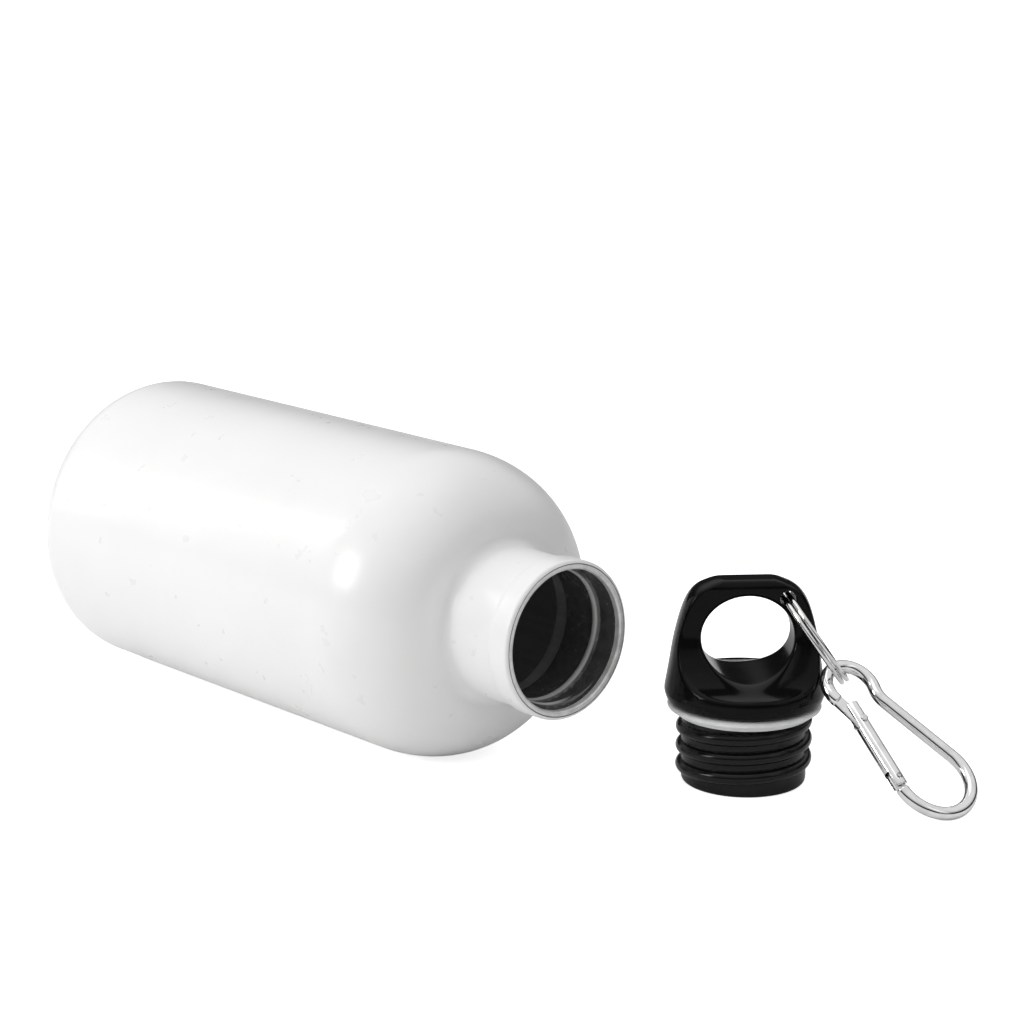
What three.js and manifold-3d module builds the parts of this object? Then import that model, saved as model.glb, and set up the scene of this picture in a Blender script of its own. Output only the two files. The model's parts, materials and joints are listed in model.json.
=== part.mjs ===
// Drinking bottle lying on its side, with its loop-handled screw stopper standing beside it
// and a spring-gate snap hook hanging from the stopper on a split ring.
// Millimetres, +Z up. +X runs along the bottle towards its mouth.

import * as THREE from 'three';
import { mergeVertices } from 'three/addons/utils/BufferGeometryUtils.js';
import Module from 'manifold-3d';

const wasm = await Module();
wasm.setup();

// ---------------------------------------------------------------- driving sizes

const TURN = 2 * Math.PI;
const BOTTLE_FLATS = 48;         // round the bottle
const FLATS = 36;                // round the stopper's pieces
const PIN_FLATS = 12;

const bottle = {
  radius: 36.5,                  // body
  length: 160,                   // base to mouth
  wall: 0.9,
  baseRoundAxial: 6.2,           // rounding between side and base
  baseRoundRadial: 4.8,
  footRadius: 27,                // edge of the hollow in the base
  baseHollow: 5,
  shoulderAxial: 23.4,           // quarter-ellipse shoulder
  shoulderRadial: 16.2,
  neckLength: 21.8,              // shoulder to mouth
  neckRadius: 17.6,
  bandRadius: 18.3,              // rolled band at the mouth
  bandWidth: 6,
  mouthRadius: 16.15,
  lipDepth: 1.6,
};

const thread = {
  pitch: 4.5,
  ridgeRadius: 1.1,              // half-width of the ridge in the neck
  ridgeStand: 1.0,               // how far it stands in from the sleeve
  ridgeTurns: 1.6,
  crestRadius: 1.45,             // half-width of the thread on the plug
  crestStand: 1.3,               // how far it stands out from the plug
  crestTurns: 3.3,
};

const sleeve = { wall: 0.6, fit: 0.15, length: 16 };

const plug = {
  radius: 14.2,
  height: 16.1,                  // floor to the seal ring
  wall: 2.4,
  floor: 2,
  chamfer: 0.9,
  stemRadius: 13.4,              // where the seal ring sits
};

const seal = { height: 3.1, lowerRadius: 15.6, upperRadius: 17.6, fit: 0.3 };

const handle = {
  height: 28.55,                 // flange to the top of the loop; all heights here are from the flange
  flangeRadius: 18.45,
  flangeLip: 17.6,               // lower edge of the flange
  flangeRise: 2.2,
  topRadius: 7.4,
  halfThickness: 4.2,            // of the loop, front to back
  scoopRadius: 13,
  shelfHeight: 4.5,              // bottom of the scoops
  fingerHalfWidth: 10.6,
  fingerHalfHeight: 9.5,
  fingerCentre: 15.4,
  eyeletAngle: 45,               // degrees up from level, seen from the finger hole
  eyeletWeb: 0.75,               // left between finger hole and eyelet
  spigotFit: 0.3,
  spigotGap: 4,                  // spigot's end to the plug's floor
  // Outline of the bell: [share of its height, drop from the flange radius].
  waist: [[0.26, 0.9], [0.54, 2.2], [0.8, 4.3], [0.93, 6.9]],
};

const ring = { radius: 12.3, wire: 0.55, pitch: 1.3, turns: 1.94, fit: 0.35 };

const hook = {
  bar: 1.5,                      // radius of the bent bar
  eyeRadius: 6,
  endRadius: 9.3,
  endAlong: 26.8,                // eye centre to the centre of the big end
  gateLine: 2.9,                 // eye centre to the gate's axis
  waistRadius: 6,                // inward bend between eye and back
  waistAlong: 2.8,               // eye centre to the centre of that bend
  tangBend: 28,                  // degrees past the side where the bar stops
  plate: 1.3,                    // flattened tang and nose
  clear: 0.3,
  floorGap: 0.05,
};

const gate = {
  radius: 1.8,
  bore: 1.25,
  start: 4.3,                    // from the eye centre along the gate
  pivot: 9.1,
  end: 26.9,
  latch: 24.9,
  tangRadius: 1.3,
  rivet: 0.5,
  rivetHead: 0.9,
  headHeight: 0.35,
  latchPin: 0.45,
  noseHalf: 1.15,                // half the width of the nose plate
  hookTip: 0.9,                  // nose beyond its notch
  springWire: 0.18,
  springRadius: 0.85,
  springTurns: 8,
  springLength: 8,
  plungerLength: 2,
};

const place = {
  stopperAlong: 17.8,            // mouth to the stopper's axis, along the bottle
  stopperAside: 38.6,            // bottle's axis to the stopper's axis
  stopperTurn: 52.3,             // degrees from the bottle's axis to the loop's width
  hookTurn: -4.8,                // degrees from the bottle's axis to the hook's length
  hookRoll: 3.4,                 // degrees it leans over on its length
  hookSwing: -2.9,               // degrees of the gate within the hook's own plane
  eyeOut: 0.6,                   // lowest point of the ring to the hook's eye, along the loop's width
  eyeAside: 3,                   // gap across it, beyond the eye's radius
  eyeUp: 0.7,
  ringGap: 0.7,                  // ring to flange, beyond the bar that passes between
};

// ---------------------------------------------------------------- helpers

const rad = THREE.MathUtils.degToRad;

// Quarter or other part of an ellipse as [x, y] points, angles in degrees.
function arc(cx, cy, rx, ry, from, to, steps) {
  const points = [];
  for (let i = 0; i <= steps; i += 1) {
    const a = rad(from + (to - from) * i / steps);
    points.push([cx + rx * Math.cos(a), cy + ry * Math.sin(a)]);
  }
  return points;
}

// Closed geometry to solid, turned face-out if it came inside out.
function solid(geometry, matrix = new THREE.Matrix4()) {
  const bare = geometry.index ? geometry.toNonIndexed() : geometry.clone();
  bare.deleteAttribute('normal');
  bare.deleteAttribute('uv');
  bare.applyMatrix4(matrix);
  const merged = mergeVertices(bare, 1e-4);
  const tri = Array.from(merged.index.array);
  const at = (i) => new THREE.Vector3().fromBufferAttribute(merged.attributes.position, i);
  const kept = [];
  let volume = 0;
  for (let i = 0; i < tri.length; i += 3) {
    const [a, b, c] = [tri[i], tri[i + 1], tri[i + 2]];
    if (a !== b && b !== c && a !== c) {
      kept.push(a, b, c);
      volume += at(a).dot(at(b).cross(at(c)));
    }
  }
  if (volume < 0) {
    kept.reverse();
  }
  return new wasm.Manifold(new wasm.Mesh({
    numProp: 3,
    vertProperties: new Float32Array(merged.attributes.position.array),
    triVerts: new Uint32Array(kept),
  }));
}

// Turned solid from a closed [radius, height] outline, about +Z.
function turned(outline, flats = FLATS) {
  const points = outline.map(([r, z]) => new THREE.Vector2(Math.max(r, 0), z));
  const half = Math.PI / flats;
  const lathe = new THREE.LatheGeometry(points, flats, half, TURN);
  return solid(lathe, new THREE.Matrix4().makeRotationX(Math.PI / 2));
}

// Flat [x, y] outline with a straight thickness, centred on its plane.
function plate(outline, thickness) {
  const shape = new THREE.Shape(outline.map(([x, y]) => new THREE.Vector2(x, y)));
  const flat = new THREE.ExtrudeGeometry(shape, { depth: thickness, bevelEnabled: false });
  return solid(flat.translate(0, 0, -thickness / 2));
}

// Round bar of the given radius along a curve.
function bar(curve, radius, steps, sides) {
  const round = new THREE.Shape(arc(0, 0, radius, radius, 0, 360, sides)
    .slice(0, sides).map(([x, y]) => new THREE.Vector2(x, y)));
  return solid(new THREE.ExtrudeGeometry(round, { steps, bevelEnabled: false, extrudePath: curve }));
}

// Right-hand helix about +Z whose two ends sink by `sink` over `run` turns.
class Helix extends THREE.Curve {
  constructor({ radius, pitch, turns, base = 0, sink = 0, run = 0.2, start = 0 }) {
    super();
    Object.assign(this, { radius, pitch, turns, base, sink, run, start });
  }

  getPoint(t, target = new THREE.Vector3()) {
    const turn = t * this.turns;
    const edge = Math.min(turn, this.turns - turn) / this.run;
    const r = this.radius + this.sink * (1 - THREE.MathUtils.smoothstep(edge, 0, 1));
    const a = this.start + turn * TURN;
    return target.set(r * Math.cos(a), r * Math.sin(a), this.base + turn * this.pitch);
  }
}

// Straight runs and arcs in the XY plane, measured by their length.
function planeCurve(path) {
  const curve = new THREE.Curve();
  curve.getPoint = (t, target = new THREE.Vector3()) => {
    const p = path.getPointAt(t);
    return target.set(p.x, p.y, 0);
  };
  return curve;
}

function mesh(name, body, colour, roughness, metalness) {
  const data = body.getMesh();
  const geometry = new THREE.BufferGeometry();
  const rows = new Float32Array(data.vertProperties);
  geometry.setAttribute('position', new THREE.BufferAttribute(rows, 3));
  geometry.setIndex(new THREE.BufferAttribute(new Uint32Array(data.triVerts), 1));
  geometry.computeVertexNormals();
  const material = new THREE.MeshStandardMaterial({ color: colour, roughness, metalness });
  const made = new THREE.Mesh(geometry, material);
  made.name = name;
  return made;
}

// ---------------------------------------------------------------- bottle

// Turned about its own axis with the mouth at height 0 and the base below it.
function bottleShell() {
  const b = bottle;
  const seat = b.mouthRadius + sleeve.wall + sleeve.fit;
  const seatEnd = -b.lipDepth - sleeve.length - 2 * sleeve.fit;
  const shoulderEnd = -b.neckLength;
  const shoulderCentre = shoulderEnd - b.shoulderAxial;
  const shoulderEdge = b.radius - b.shoulderRadial;
  const fillet = shoulderEdge - b.neckRadius;
  const base = -b.length;
  const outer = [
    [0, base + b.baseHollow],
    [b.footRadius * 0.55, base + b.baseHollow * 0.82],
    [b.footRadius * 0.85, base + b.baseHollow * 0.35],
    [b.footRadius, base],
    ...arc(b.radius - b.baseRoundRadial, base + b.baseRoundAxial,
      b.baseRoundRadial, b.baseRoundAxial, -90, 0, 4),
    ...arc(shoulderEdge, shoulderCentre, b.shoulderRadial, b.shoulderAxial, 0, 90, 8),
    ...arc(shoulderEdge, shoulderEnd + fillet, fillet, fillet, -90, -180, 3).slice(1),
    [b.neckRadius, -b.bandWidth - 0.5],
    [b.bandRadius, -b.bandWidth],
    ...arc(b.bandRadius - 0.6, -0.6, 0.6, 0.6, 0, 90, 2),
    ...arc(b.mouthRadius + 0.7, -b.lipDepth / 2, 0.7, b.lipDepth / 2, 90, 180, 2),
  ];
  const inner = [
    [b.mouthRadius, -b.lipDepth],
    [seat, -b.lipDepth],
    [seat, seatEnd],
    [seat + 0.2, shoulderEnd - b.wall * 0.4],
    ...arc(shoulderEdge, shoulderCentre, b.shoulderRadial - b.wall,
      b.shoulderAxial - b.wall, 75, 0, 5),
    ...arc(b.radius - b.baseRoundRadial, base + b.baseRoundAxial,
      b.baseRoundRadial - b.wall, b.baseRoundAxial - b.wall, 0, -90, 3),
    [b.footRadius - b.wall * 0.3, base + b.wall],
    [b.footRadius * 0.85 - b.wall * 0.4, base + b.baseHollow * 0.35 + b.wall],
    [b.footRadius * 0.55 - b.wall * 0.2, base + b.baseHollow * 0.82 + b.wall],
    [0, base + b.baseHollow + b.wall],
  ];
  return turned([...outer, ...inner], BOTTLE_FLATS);
}

// Thin threaded sleeve in the neck, with one ridge winding into the bottle.
function neckSleeve() {
  const outer = bottle.mouthRadius + sleeve.wall;
  const top = -bottle.lipDepth - sleeve.fit;
  const low = top - sleeve.length;
  const tube = turned([
    [bottle.mouthRadius, low], [outer, low], [outer, top], [bottle.mouthRadius, top],
    [bottle.mouthRadius, low],
  ], BOTTLE_FLATS);
  const centre = bottle.mouthRadius - thread.ridgeStand + thread.ridgeRadius;
  const rise = thread.pitch * thread.ridgeTurns;
  const ridge = bar(new Helix({
    radius: centre,
    pitch: thread.pitch,
    turns: thread.ridgeTurns,
    base: top - thread.ridgeRadius - 0.6 - rise,
    sink: thread.ridgeStand,
    start: rad(204),
  }), thread.ridgeRadius, 36, 6);
  const room = turned([[0, low], [outer - 0.05, low], [outer - 0.05, top], [0, top]],
    BOTTLE_FLATS);
  return tube.add(ridge.intersect(room));
}

// ---------------------------------------------------------------- stopper

function threadedPlug() {
  const rim = handleBase - seal.fit;
  const bore = plug.radius - plug.wall;
  const core = turned([
    [0, 0], [plug.radius - plug.chamfer, 0], [plug.radius, plug.chamfer],
    [plug.radius, plug.height - seal.fit], [plug.stemRadius, plug.height - seal.fit],
    [plug.stemRadius, rim], [bore, rim], [bore, plug.floor], [0, plug.floor],
  ]);
  const rise = thread.pitch * thread.crestTurns;
  const top = plug.height - seal.fit - 0.2;
  const crest = bar(new Helix({
    radius: plug.radius + thread.crestStand - thread.crestRadius,
    pitch: thread.pitch,
    turns: thread.crestTurns,
    base: top - rise + thread.crestRadius * 0.3,
    sink: -thread.crestStand,
    start: rad(-20),
  }), thread.crestRadius, 66, 8);
  const wide = plug.radius + thread.crestStand + 1;
  const hidden = bore + plug.wall / 4;
  const room = turned([[hidden, 0.4], [wide, 0.4], [wide, top], [hidden, top], [hidden, 0.4]]);
  return core.add(crest.intersect(room));
}

function sealRing() {
  const inner = plug.stemRadius + seal.fit;
  const low = plug.height;
  const top = plug.height + seal.height - seal.fit;
  return turned([
    [inner, low], [seal.lowerRadius, low], [seal.upperRadius, top - 0.5],
    [seal.upperRadius, top], [inner, top], [inner, low],
  ]);
}

// The flange stands on the seal ring.
const handleBase = plug.height + seal.height;
const fingerZ = handleBase + handle.fingerCentre;

// The eyelet passes both coils of the ring, which bend by `sag` through the loop's thickness.
const sag = ring.radius - Math.sqrt(ring.radius ** 2 - handle.halfThickness ** 2);
const eyeletRadius = ring.fit + Math.hypot(ring.pitch + 2 * ring.wire, 2 * ring.wire + sag) / 2;
const eyeletTurn = rad(handle.eyeletAngle);
const eyeletReach = handle.eyeletWeb + eyeletRadius + 1 / Math.hypot(
  Math.cos(eyeletTurn) / handle.fingerHalfWidth, Math.sin(eyeletTurn) / handle.fingerHalfHeight);
const eyeletX = eyeletReach * Math.cos(eyeletTurn);
const eyeletZ = fingerZ + eyeletReach * Math.sin(eyeletTurn);

// Bell-shaped grip, scooped front and back to a loop with a finger hole and a small eyelet.
function loopHandle() {
  const h = handle;
  const low = handleBase;
  const top = low + h.height;
  const waist = new THREE.SplineCurve([
    new THREE.Vector2(h.flangeRadius, low + h.flangeRise),
    ...h.waist.map(([share, drop]) => new THREE.Vector2(h.flangeRadius - drop, low + share * h.height)),
    new THREE.Vector2(h.topRadius, top),
  ]).getPoints(12).map((p) => [p.x, p.y]);
  const spigot = plug.radius - plug.wall - h.spigotFit;
  const spigotEnd = plug.floor + h.spigotGap;
  const bell = turned([
    [0, spigotEnd], [spigot, spigotEnd], [spigot, low], [h.flangeLip, low],
    ...waist, [0, top],
  ]);

  // One scoop in section: a quarter circle from the shelf up to the loop's flat face.
  const far = 2 * h.flangeRadius;
  const shelf = low + h.shelfHeight;
  const scoopAxis = h.halfThickness + h.scoopRadius;
  const section = [
    [far, shelf],
    ...arc(scoopAxis, shelf + h.scoopRadius, h.scoopRadius, h.scoopRadius, 270, 180, 7),
    [h.halfThickness, 2 * top], [far, 2 * top],
  ];
  const along = new THREE.Matrix4().makeBasis(
    new THREE.Vector3(0, 1, 0), new THREE.Vector3(0, 0, 1), new THREE.Vector3(1, 0, 0));
  const back = new THREE.Matrix4().makeRotationZ(Math.PI);
  const scoopShape = new THREE.Shape(section.map(([y, z]) => new THREE.Vector2(y, z)));
  const scoop = new THREE.ExtrudeGeometry(scoopShape, { depth: 2 * far, bevelEnabled: false })
    .translate(0, 0, -far).applyMatrix4(along);

  // Holes run front to back, along Y.
  const across = new THREE.Matrix4().makeRotationX(Math.PI / 2);
  const hole = (x, z, rx, rz, sides) => {
    const outline = new THREE.Shape(arc(x, z, rx, rz, 0, 360, sides).slice(0, sides)
      .map(([a, b]) => new THREE.Vector2(a, b)));
    const cut = new THREE.ExtrudeGeometry(outline, { depth: 2 * far, bevelEnabled: false });
    return solid(cut.translate(0, 0, -far), across);
  };
  return bell
    .subtract(solid(scoop))
    .subtract(solid(scoop, back))
    .subtract(hole(0, fingerZ, h.fingerHalfWidth, h.fingerHalfHeight, 32))
    .subtract(hole(eyeletX, eyeletZ, eyeletRadius, eyeletRadius, 12));
}

// ---------------------------------------------------------------- split ring

// Two close coils of wire about the ring's own +Z.
function splitRing() {
  const rise = ring.pitch * ring.turns;
  return bar(new Helix({
    radius: ring.radius, pitch: ring.pitch, turns: ring.turns, base: -rise / 2, start: rad(45),
  }), ring.wire, 72, 6);
}

// ---------------------------------------------------------------- snap hook

// The hook lies in its own XY plane: eye centre at the origin, gate along +X at -Y.
const endAside = hook.endRadius - hook.gateLine;
const noseX = gate.end + hook.clear;
const barEnd = rad(270 + hook.tangBend);
const tangStart = [hook.eyeRadius * Math.cos(barEnd), hook.eyeRadius * Math.sin(barEnd)];

// From the nose round the big end, up the straight back, in at the waist and round the eye.
function hookLine() {
  const k = hook;
  const reach = k.eyeRadius + k.waistRadius;
  const waistY = Math.sqrt(reach ** 2 - k.waistAlong ** 2);
  const dx = k.endAlong - k.waistAlong;
  const dy = endAside - waistY;
  const span = Math.hypot(dx, dy);
  const slope = Math.atan2(dy, dx) + Math.asin((k.endRadius + k.waistRadius) / span);
  const toWaist = Math.atan2(waistY, k.waistAlong);
  const nose = Math.asin((noseX - k.endAlong) / k.endRadius) - Math.PI / 2;
  const path = new THREE.Path();
  path.absarc(k.endAlong, endAside, k.endRadius, nose, slope + Math.PI / 2, false);
  path.absarc(k.waistAlong, waistY, k.waistRadius, slope - Math.PI / 2, toWaist - Math.PI, true);
  path.absarc(0, 0, k.eyeRadius, toWaist, barEnd, false);
  return planeCurve(path);
}

const disc = (x, y, r, sides = PIN_FLATS) => arc(x, y, r, r, 0, 360, sides).slice(0, sides);

// Pin or hole across the hook, along its Z.
function crossPin(x, radius, halfLength) {
  return plate(disc(x, -hook.gateLine, radius), 2 * halfLength);
}

function hookFrame() {
  const k = hook;
  const tangEnd = gate.tangRadius;
  const [ax, ay] = tangStart;
  const lean = Math.atan2(-k.gateLine - ay, gate.pivot - ax);
  const [sx, sy] = [-Math.sin(lean) * tangEnd, Math.cos(lean) * tangEnd];
  const tang = plate([
    [ax + sx, ay + sy], [ax - sx, ay - sy],
    [gate.pivot - sx, -k.gateLine - sy], [gate.pivot + sx, -k.gateLine + sy],
  ], k.plate)
    .add(plate(disc(ax, ay, tangEnd), k.plate))
    .add(plate(disc(gate.pivot, -k.gateLine, tangEnd), k.plate))
    .subtract(crossPin(gate.pivot, gate.rivet + k.clear, k.bar));
  const half = gate.latchPin + k.clear;
  const [low, high] = [-k.gateLine - gate.noseHalf, -k.gateLine + gate.noseHalf];
  const notch = -k.gateLine - half;
  const nose = plate([
    [gate.latch - half - gate.hookTip, low], [noseX + 1, low], [noseX + 1, high],
    [gate.latch + half, high], [gate.latch + half, notch],
    [gate.latch - half, notch], [gate.latch - half, high],
    [gate.latch - half - gate.hookTip, high],
  ], k.plate);
  return bar(hookLine(), k.bar, 72, 10).add(tang).add(nose);
}

// Turned about +X on the gate's axis, from an [offset along X, radius] outline.
function gateTurned(outline, flats) {
  const body = turned(outline.map(([x, r]) => [r, x]), flats);
  const lie = new THREE.Matrix4().makeTranslation(0, -hook.gateLine, 0)
    .multiply(new THREE.Matrix4().makeRotationY(Math.PI / 2));
  return body.transform(lie.elements);
}

function gateTube() {
  const slot = hook.plate + 2 * hook.clear;
  const slotEnd = gate.pivot + gate.tangRadius + hook.clear;
  const slotStart = gate.latch - gate.latchPin - hook.clear - gate.hookTip - hook.clear;
  const wide = 2 * gate.radius;
  const cut = (from, to) => plate([
    [from, -hook.gateLine - wide], [to, -hook.gateLine - wide],
    [to, -hook.gateLine + wide], [from, -hook.gateLine + wide],
  ], slot);
  return gateTurned([
    [gate.start, gate.bore], [gate.start, gate.radius - 0.2], [gate.start + 0.2, gate.radius],
    [gate.end - 0.3, gate.radius], [gate.end, gate.radius - 0.3], [gate.end, 0],
    [springEnd + hook.clear, 0], [springEnd + hook.clear, gate.bore], [gate.start, gate.bore],
  ], 16)
    .subtract(cut(gate.start - 1, slotEnd))
    .subtract(cut(slotStart, gate.end + 1))
    .subtract(crossPin(gate.pivot, gate.rivet + hook.clear, wide))
    .subtract(crossPin(gate.latch, gate.latchPin + hook.clear, wide));
}

function hingeRivet() {
  const under = gate.radius + hook.clear / 2;
  const top = under + gate.headHeight;
  const { rivet, rivetHead: head, pivot } = gate;
  return turned([
    [0, -top], [head * 0.7, -top], [head, -under - 0.1], [head, -under], [rivet, -under],
    [rivet, under], [head, under], [head, under + 0.1], [head * 0.7, top], [0, top],
  ], PIN_FLATS).translate([pivot, -hook.gateLine, 0]);
}

const plungerStart = gate.pivot + gate.tangRadius + hook.clear;
const springStart = plungerStart + gate.plungerLength + hook.clear;
const springEnd = springStart + gate.springLength;

function springPlunger() {
  const r = gate.bore - hook.clear;
  const end = plungerStart + gate.plungerLength;
  return gateTurned([[plungerStart, 0], [plungerStart, r - 0.3], [plungerStart + 0.3, r],
    [end, r], [end, 0]], PIN_FLATS);
}

function gateSpring() {
  const lie = new THREE.Matrix4().makeTranslation(0, -hook.gateLine, 0)
    .multiply(new THREE.Matrix4().makeRotationY(Math.PI / 2));
  const run = gate.springLength - 2 * gate.springWire;
  const coil = bar(new Helix({
    radius: gate.springRadius,
    pitch: run / gate.springTurns,
    turns: gate.springTurns,
    base: springStart + gate.springWire,
  }), gate.springWire, 9 * gate.springTurns, 5);
  return coil.transform(lie.elements);
}

// ---------------------------------------------------------------- assembly

const white = 0xf4f4f2;
const black = 0x151517;
const silver = 0xc9cbce;

// The bottle lies on one of its flats, so its axis is a little under its radius high.
const bottleGroup = new THREE.Group();
bottleGroup.add(mesh('bottle_shell', bottleShell(), white, 0.25, 0.1));
bottleGroup.add(mesh('neck_sleeve', neckSleeve(), black, 0.5, 0));
bottleGroup.rotation.set(0, Math.PI / 2, 0);
bottleGroup.position.z = bottle.radius * Math.cos(Math.PI / BOTTLE_FLATS);

const stopperGroup = new THREE.Group();
stopperGroup.add(mesh('threaded_plug', threadedPlug(), black, 0.3, 0));
stopperGroup.add(mesh('seal_ring', sealRing(), 0xb9bbbc, 0.6, 0));
stopperGroup.add(mesh('loop_handle', loopHandle(), black, 0.25, 0));
stopperGroup.position.set(place.stopperAlong, place.stopperAside, 0);
stopperGroup.rotation.z = rad(place.stopperTurn);

// The ring hangs from the eyelet, and leans out over the flange and the hook's bar.
const ringOut = handle.flangeRadius + 2 * hook.bar + place.ringGap;
const ringDrop = 2 * ring.radius - sag / 2;
const lean = Math.acos((ringOut - eyeletX) / ringDrop);
const ringLow = eyeletZ - ringDrop * Math.sin(lean);
const ringGroup = new THREE.Group();
ringGroup.add(mesh('split_ring', splitRing(), silver, 0.2, 1));
ringGroup.position.set(
  eyeletX + (ring.radius - sag / 2) * Math.cos(lean),
  0,
  eyeletZ - (ring.radius - sag / 2) * Math.sin(lean),
);
ringGroup.rotation.y = lean;
stopperGroup.add(ringGroup);

// Where the hook's eye is, and how it is turned when tipped down by `pitch`.
const eyeHeight = ringLow + place.eyeUp;
const hookPose = (pitch) => new THREE.Matrix4().makeRotationZ(rad(place.hookTurn - place.stopperTurn))
  .multiply(new THREE.Matrix4().makeRotationY(pitch))
  .multiply(new THREE.Matrix4().makeRotationX(rad(place.hookRoll)))
  .multiply(new THREE.Matrix4().makeRotationZ(rad(place.hookSwing)));

// Height of the underside of the big end.
function bigEndFloor(pitch) {
  const [, , ux, , , , uy] = hookPose(pitch).elements;
  return eyeHeight + hook.endAlong * ux + endAside * uy
    - hook.endRadius * Math.hypot(ux, uy) - hook.bar;
}

// The hook hangs in the ring by its eye and tips down until its big end rests on the table.
let [level, steep] = [0, Math.PI / 2];
for (let i = 0; i < 40; i += 1) {
  const middle = (level + steep) / 2;
  if (bigEndFloor(middle) > hook.floorGap) {
    level = middle;
  } else {
    steep = middle;
  }
}

const hookGroup = new THREE.Group();
hookGroup.add(mesh('hook_frame', hookFrame(), silver, 0.2, 1));
hookGroup.add(mesh('gate_tube', gateTube(), silver, 0.2, 1));
hookGroup.add(mesh('hinge_rivet', hingeRivet(), silver, 0.3, 1));
hookGroup.add(mesh('latch_pin', crossPin(gate.latch, gate.latchPin, gate.radius), silver, 0.3, 1));
hookGroup.add(mesh('gate_spring', gateSpring(), silver, 0.3, 1));
hookGroup.add(mesh('spring_plunger', springPlunger(), silver, 0.3, 1));
hookGroup.applyMatrix4(hookPose(level));
hookGroup.position.set(ringOut + place.eyeOut, -hook.eyeRadius - place.eyeAside, eyeHeight);
stopperGroup.add(hookGroup);

const canteen = new THREE.Group();
canteen.add(bottleGroup, stopperGroup);
const extent = new THREE.Box3().setFromObject(canteen, true);
canteen.position.set(-(extent.min.x + extent.max.x) / 2, -(extent.min.y + extent.max.y) / 2, 0);

export default canteen;
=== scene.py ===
"""Looks for a metal drinking bottle, its loop-handled screw stopper, and the snap hook on its split ring."""

import json

import bmesh
import bpy
import numpy as np
from bpy.props import FloatProperty, FloatVectorProperty, IntProperty, PointerProperty
from bpy.types import Operator, Panel, PropertyGroup
from mathutils import Matrix, Vector


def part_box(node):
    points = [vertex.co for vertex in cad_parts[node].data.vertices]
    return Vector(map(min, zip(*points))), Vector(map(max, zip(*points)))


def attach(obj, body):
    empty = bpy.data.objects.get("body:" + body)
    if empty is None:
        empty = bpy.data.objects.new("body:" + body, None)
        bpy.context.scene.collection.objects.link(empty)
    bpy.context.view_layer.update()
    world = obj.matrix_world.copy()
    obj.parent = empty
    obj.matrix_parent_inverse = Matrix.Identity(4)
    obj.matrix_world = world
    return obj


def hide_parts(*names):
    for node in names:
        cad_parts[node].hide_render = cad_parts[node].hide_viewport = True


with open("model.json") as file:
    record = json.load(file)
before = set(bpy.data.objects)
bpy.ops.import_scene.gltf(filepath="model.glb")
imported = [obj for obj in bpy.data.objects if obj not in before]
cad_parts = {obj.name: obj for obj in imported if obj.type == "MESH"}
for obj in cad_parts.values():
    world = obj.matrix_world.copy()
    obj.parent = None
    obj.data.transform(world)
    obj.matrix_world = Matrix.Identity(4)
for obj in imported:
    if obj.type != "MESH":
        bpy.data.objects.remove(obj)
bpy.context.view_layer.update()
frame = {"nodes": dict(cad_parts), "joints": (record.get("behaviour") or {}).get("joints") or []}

bl_info = {
    "name": "Drinking bottle",
    "version": (1, 0, 0),
    "blender": (4, 5, 0),
    "location": "View3D > Sidebar > Bottle",
    "description": "Builds the bottle, its stopper, split ring and snap hook around the CAD frame",
    "category": "Object",
}

TURN = 2 * np.pi
MM = 0.001
HAIR = 2e-7  # keeps the end rows of a surface just inside its edge planes
COAT_STOP = 0.85 * MM  # band's edge to where the coat ends and bare metal begins
DARK_LINE = 0.2 * MM  # width of the dark line where the coat ends
LINING_START = np.radians(204)  # where the neck's thread begins round the mouth
CREST_START = np.radians(-20)  # where the plug's thread begins
EYELET = 1.86 * MM  # radius of the hole for the split ring
SPIGOT = 13.2 * MM  # how far the grip reaches down into the plug
BELL_DROPS = ((0.26, 0.9 * MM), (0.54, 2.2 * MM), (0.8, 4.3 * MM), (0.93, 6.9 * MM))  # height share, fall
BELL_SOFTEN = 0.9 * MM  # height over which the bell's flange edge is rounded off

# height of a direction and how bright the room is there; then how bright the whole room is
ROOM_STOPS = ((0.0, 0.03), (0.3, 0.04), (0.42, 0.66), (0.7, 1.0), (1.0, 1.0))
ROOM_STRENGTH = 0.84
# name, place, width, height, watts
LIGHTS = (("overhead", (-0.1, -0.15, 0.9), 0.9, 0.7, 1.1),
          ("left_window", (-0.35, -0.85, 0.42), 0.34, 0.34, 3.0),
          ("left_strip", (-0.75, -0.45, 0.35), 0.07, 0.6, 0.9),
          ("right_window", (0.95, 0.15, 0.45), 0.3, 0.6, 0.25))

JOINTS = {joint["name"]: joint for joint in frame["joints"]}


# ---------------------------------------------------------------- places taken from the frame


def placed(origin, x_axis, y_axis, z_axis):
    """Matrix whose columns are three axes and an origin."""
    return np.array([[*row] for row in zip(x_axis, y_axis, z_axis, origin)] + [[0, 0, 0, 1.0]])


def unit(vector):
    """A vector divided by its own length."""
    vector = np.asarray(vector, float)
    return vector / np.linalg.norm(vector)


def bottle_place():
    """Bottle's own frame: +Z out of the mouth with 0 at the rim, +X straight down."""
    low, high = map(np.array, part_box("bottle_shell"))
    middle = (low + high) / 2
    return placed((high[0], middle[1], middle[2]), (0, 0, -1), (0, 1, 0), (1, 0, 0))


def stopper_place():
    """Stopper's own frame: +Z up its axis from the table, +X along the loop's width towards the eyelet."""
    low, high = map(np.array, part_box("seal_ring"))
    across = unit(JOINTS["ring_swing"]["axis"])
    middle = (low + high) / 2
    return placed((middle[0], middle[1], 0), (across[1], -across[0], 0), across, (0, 0, 1))


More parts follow.
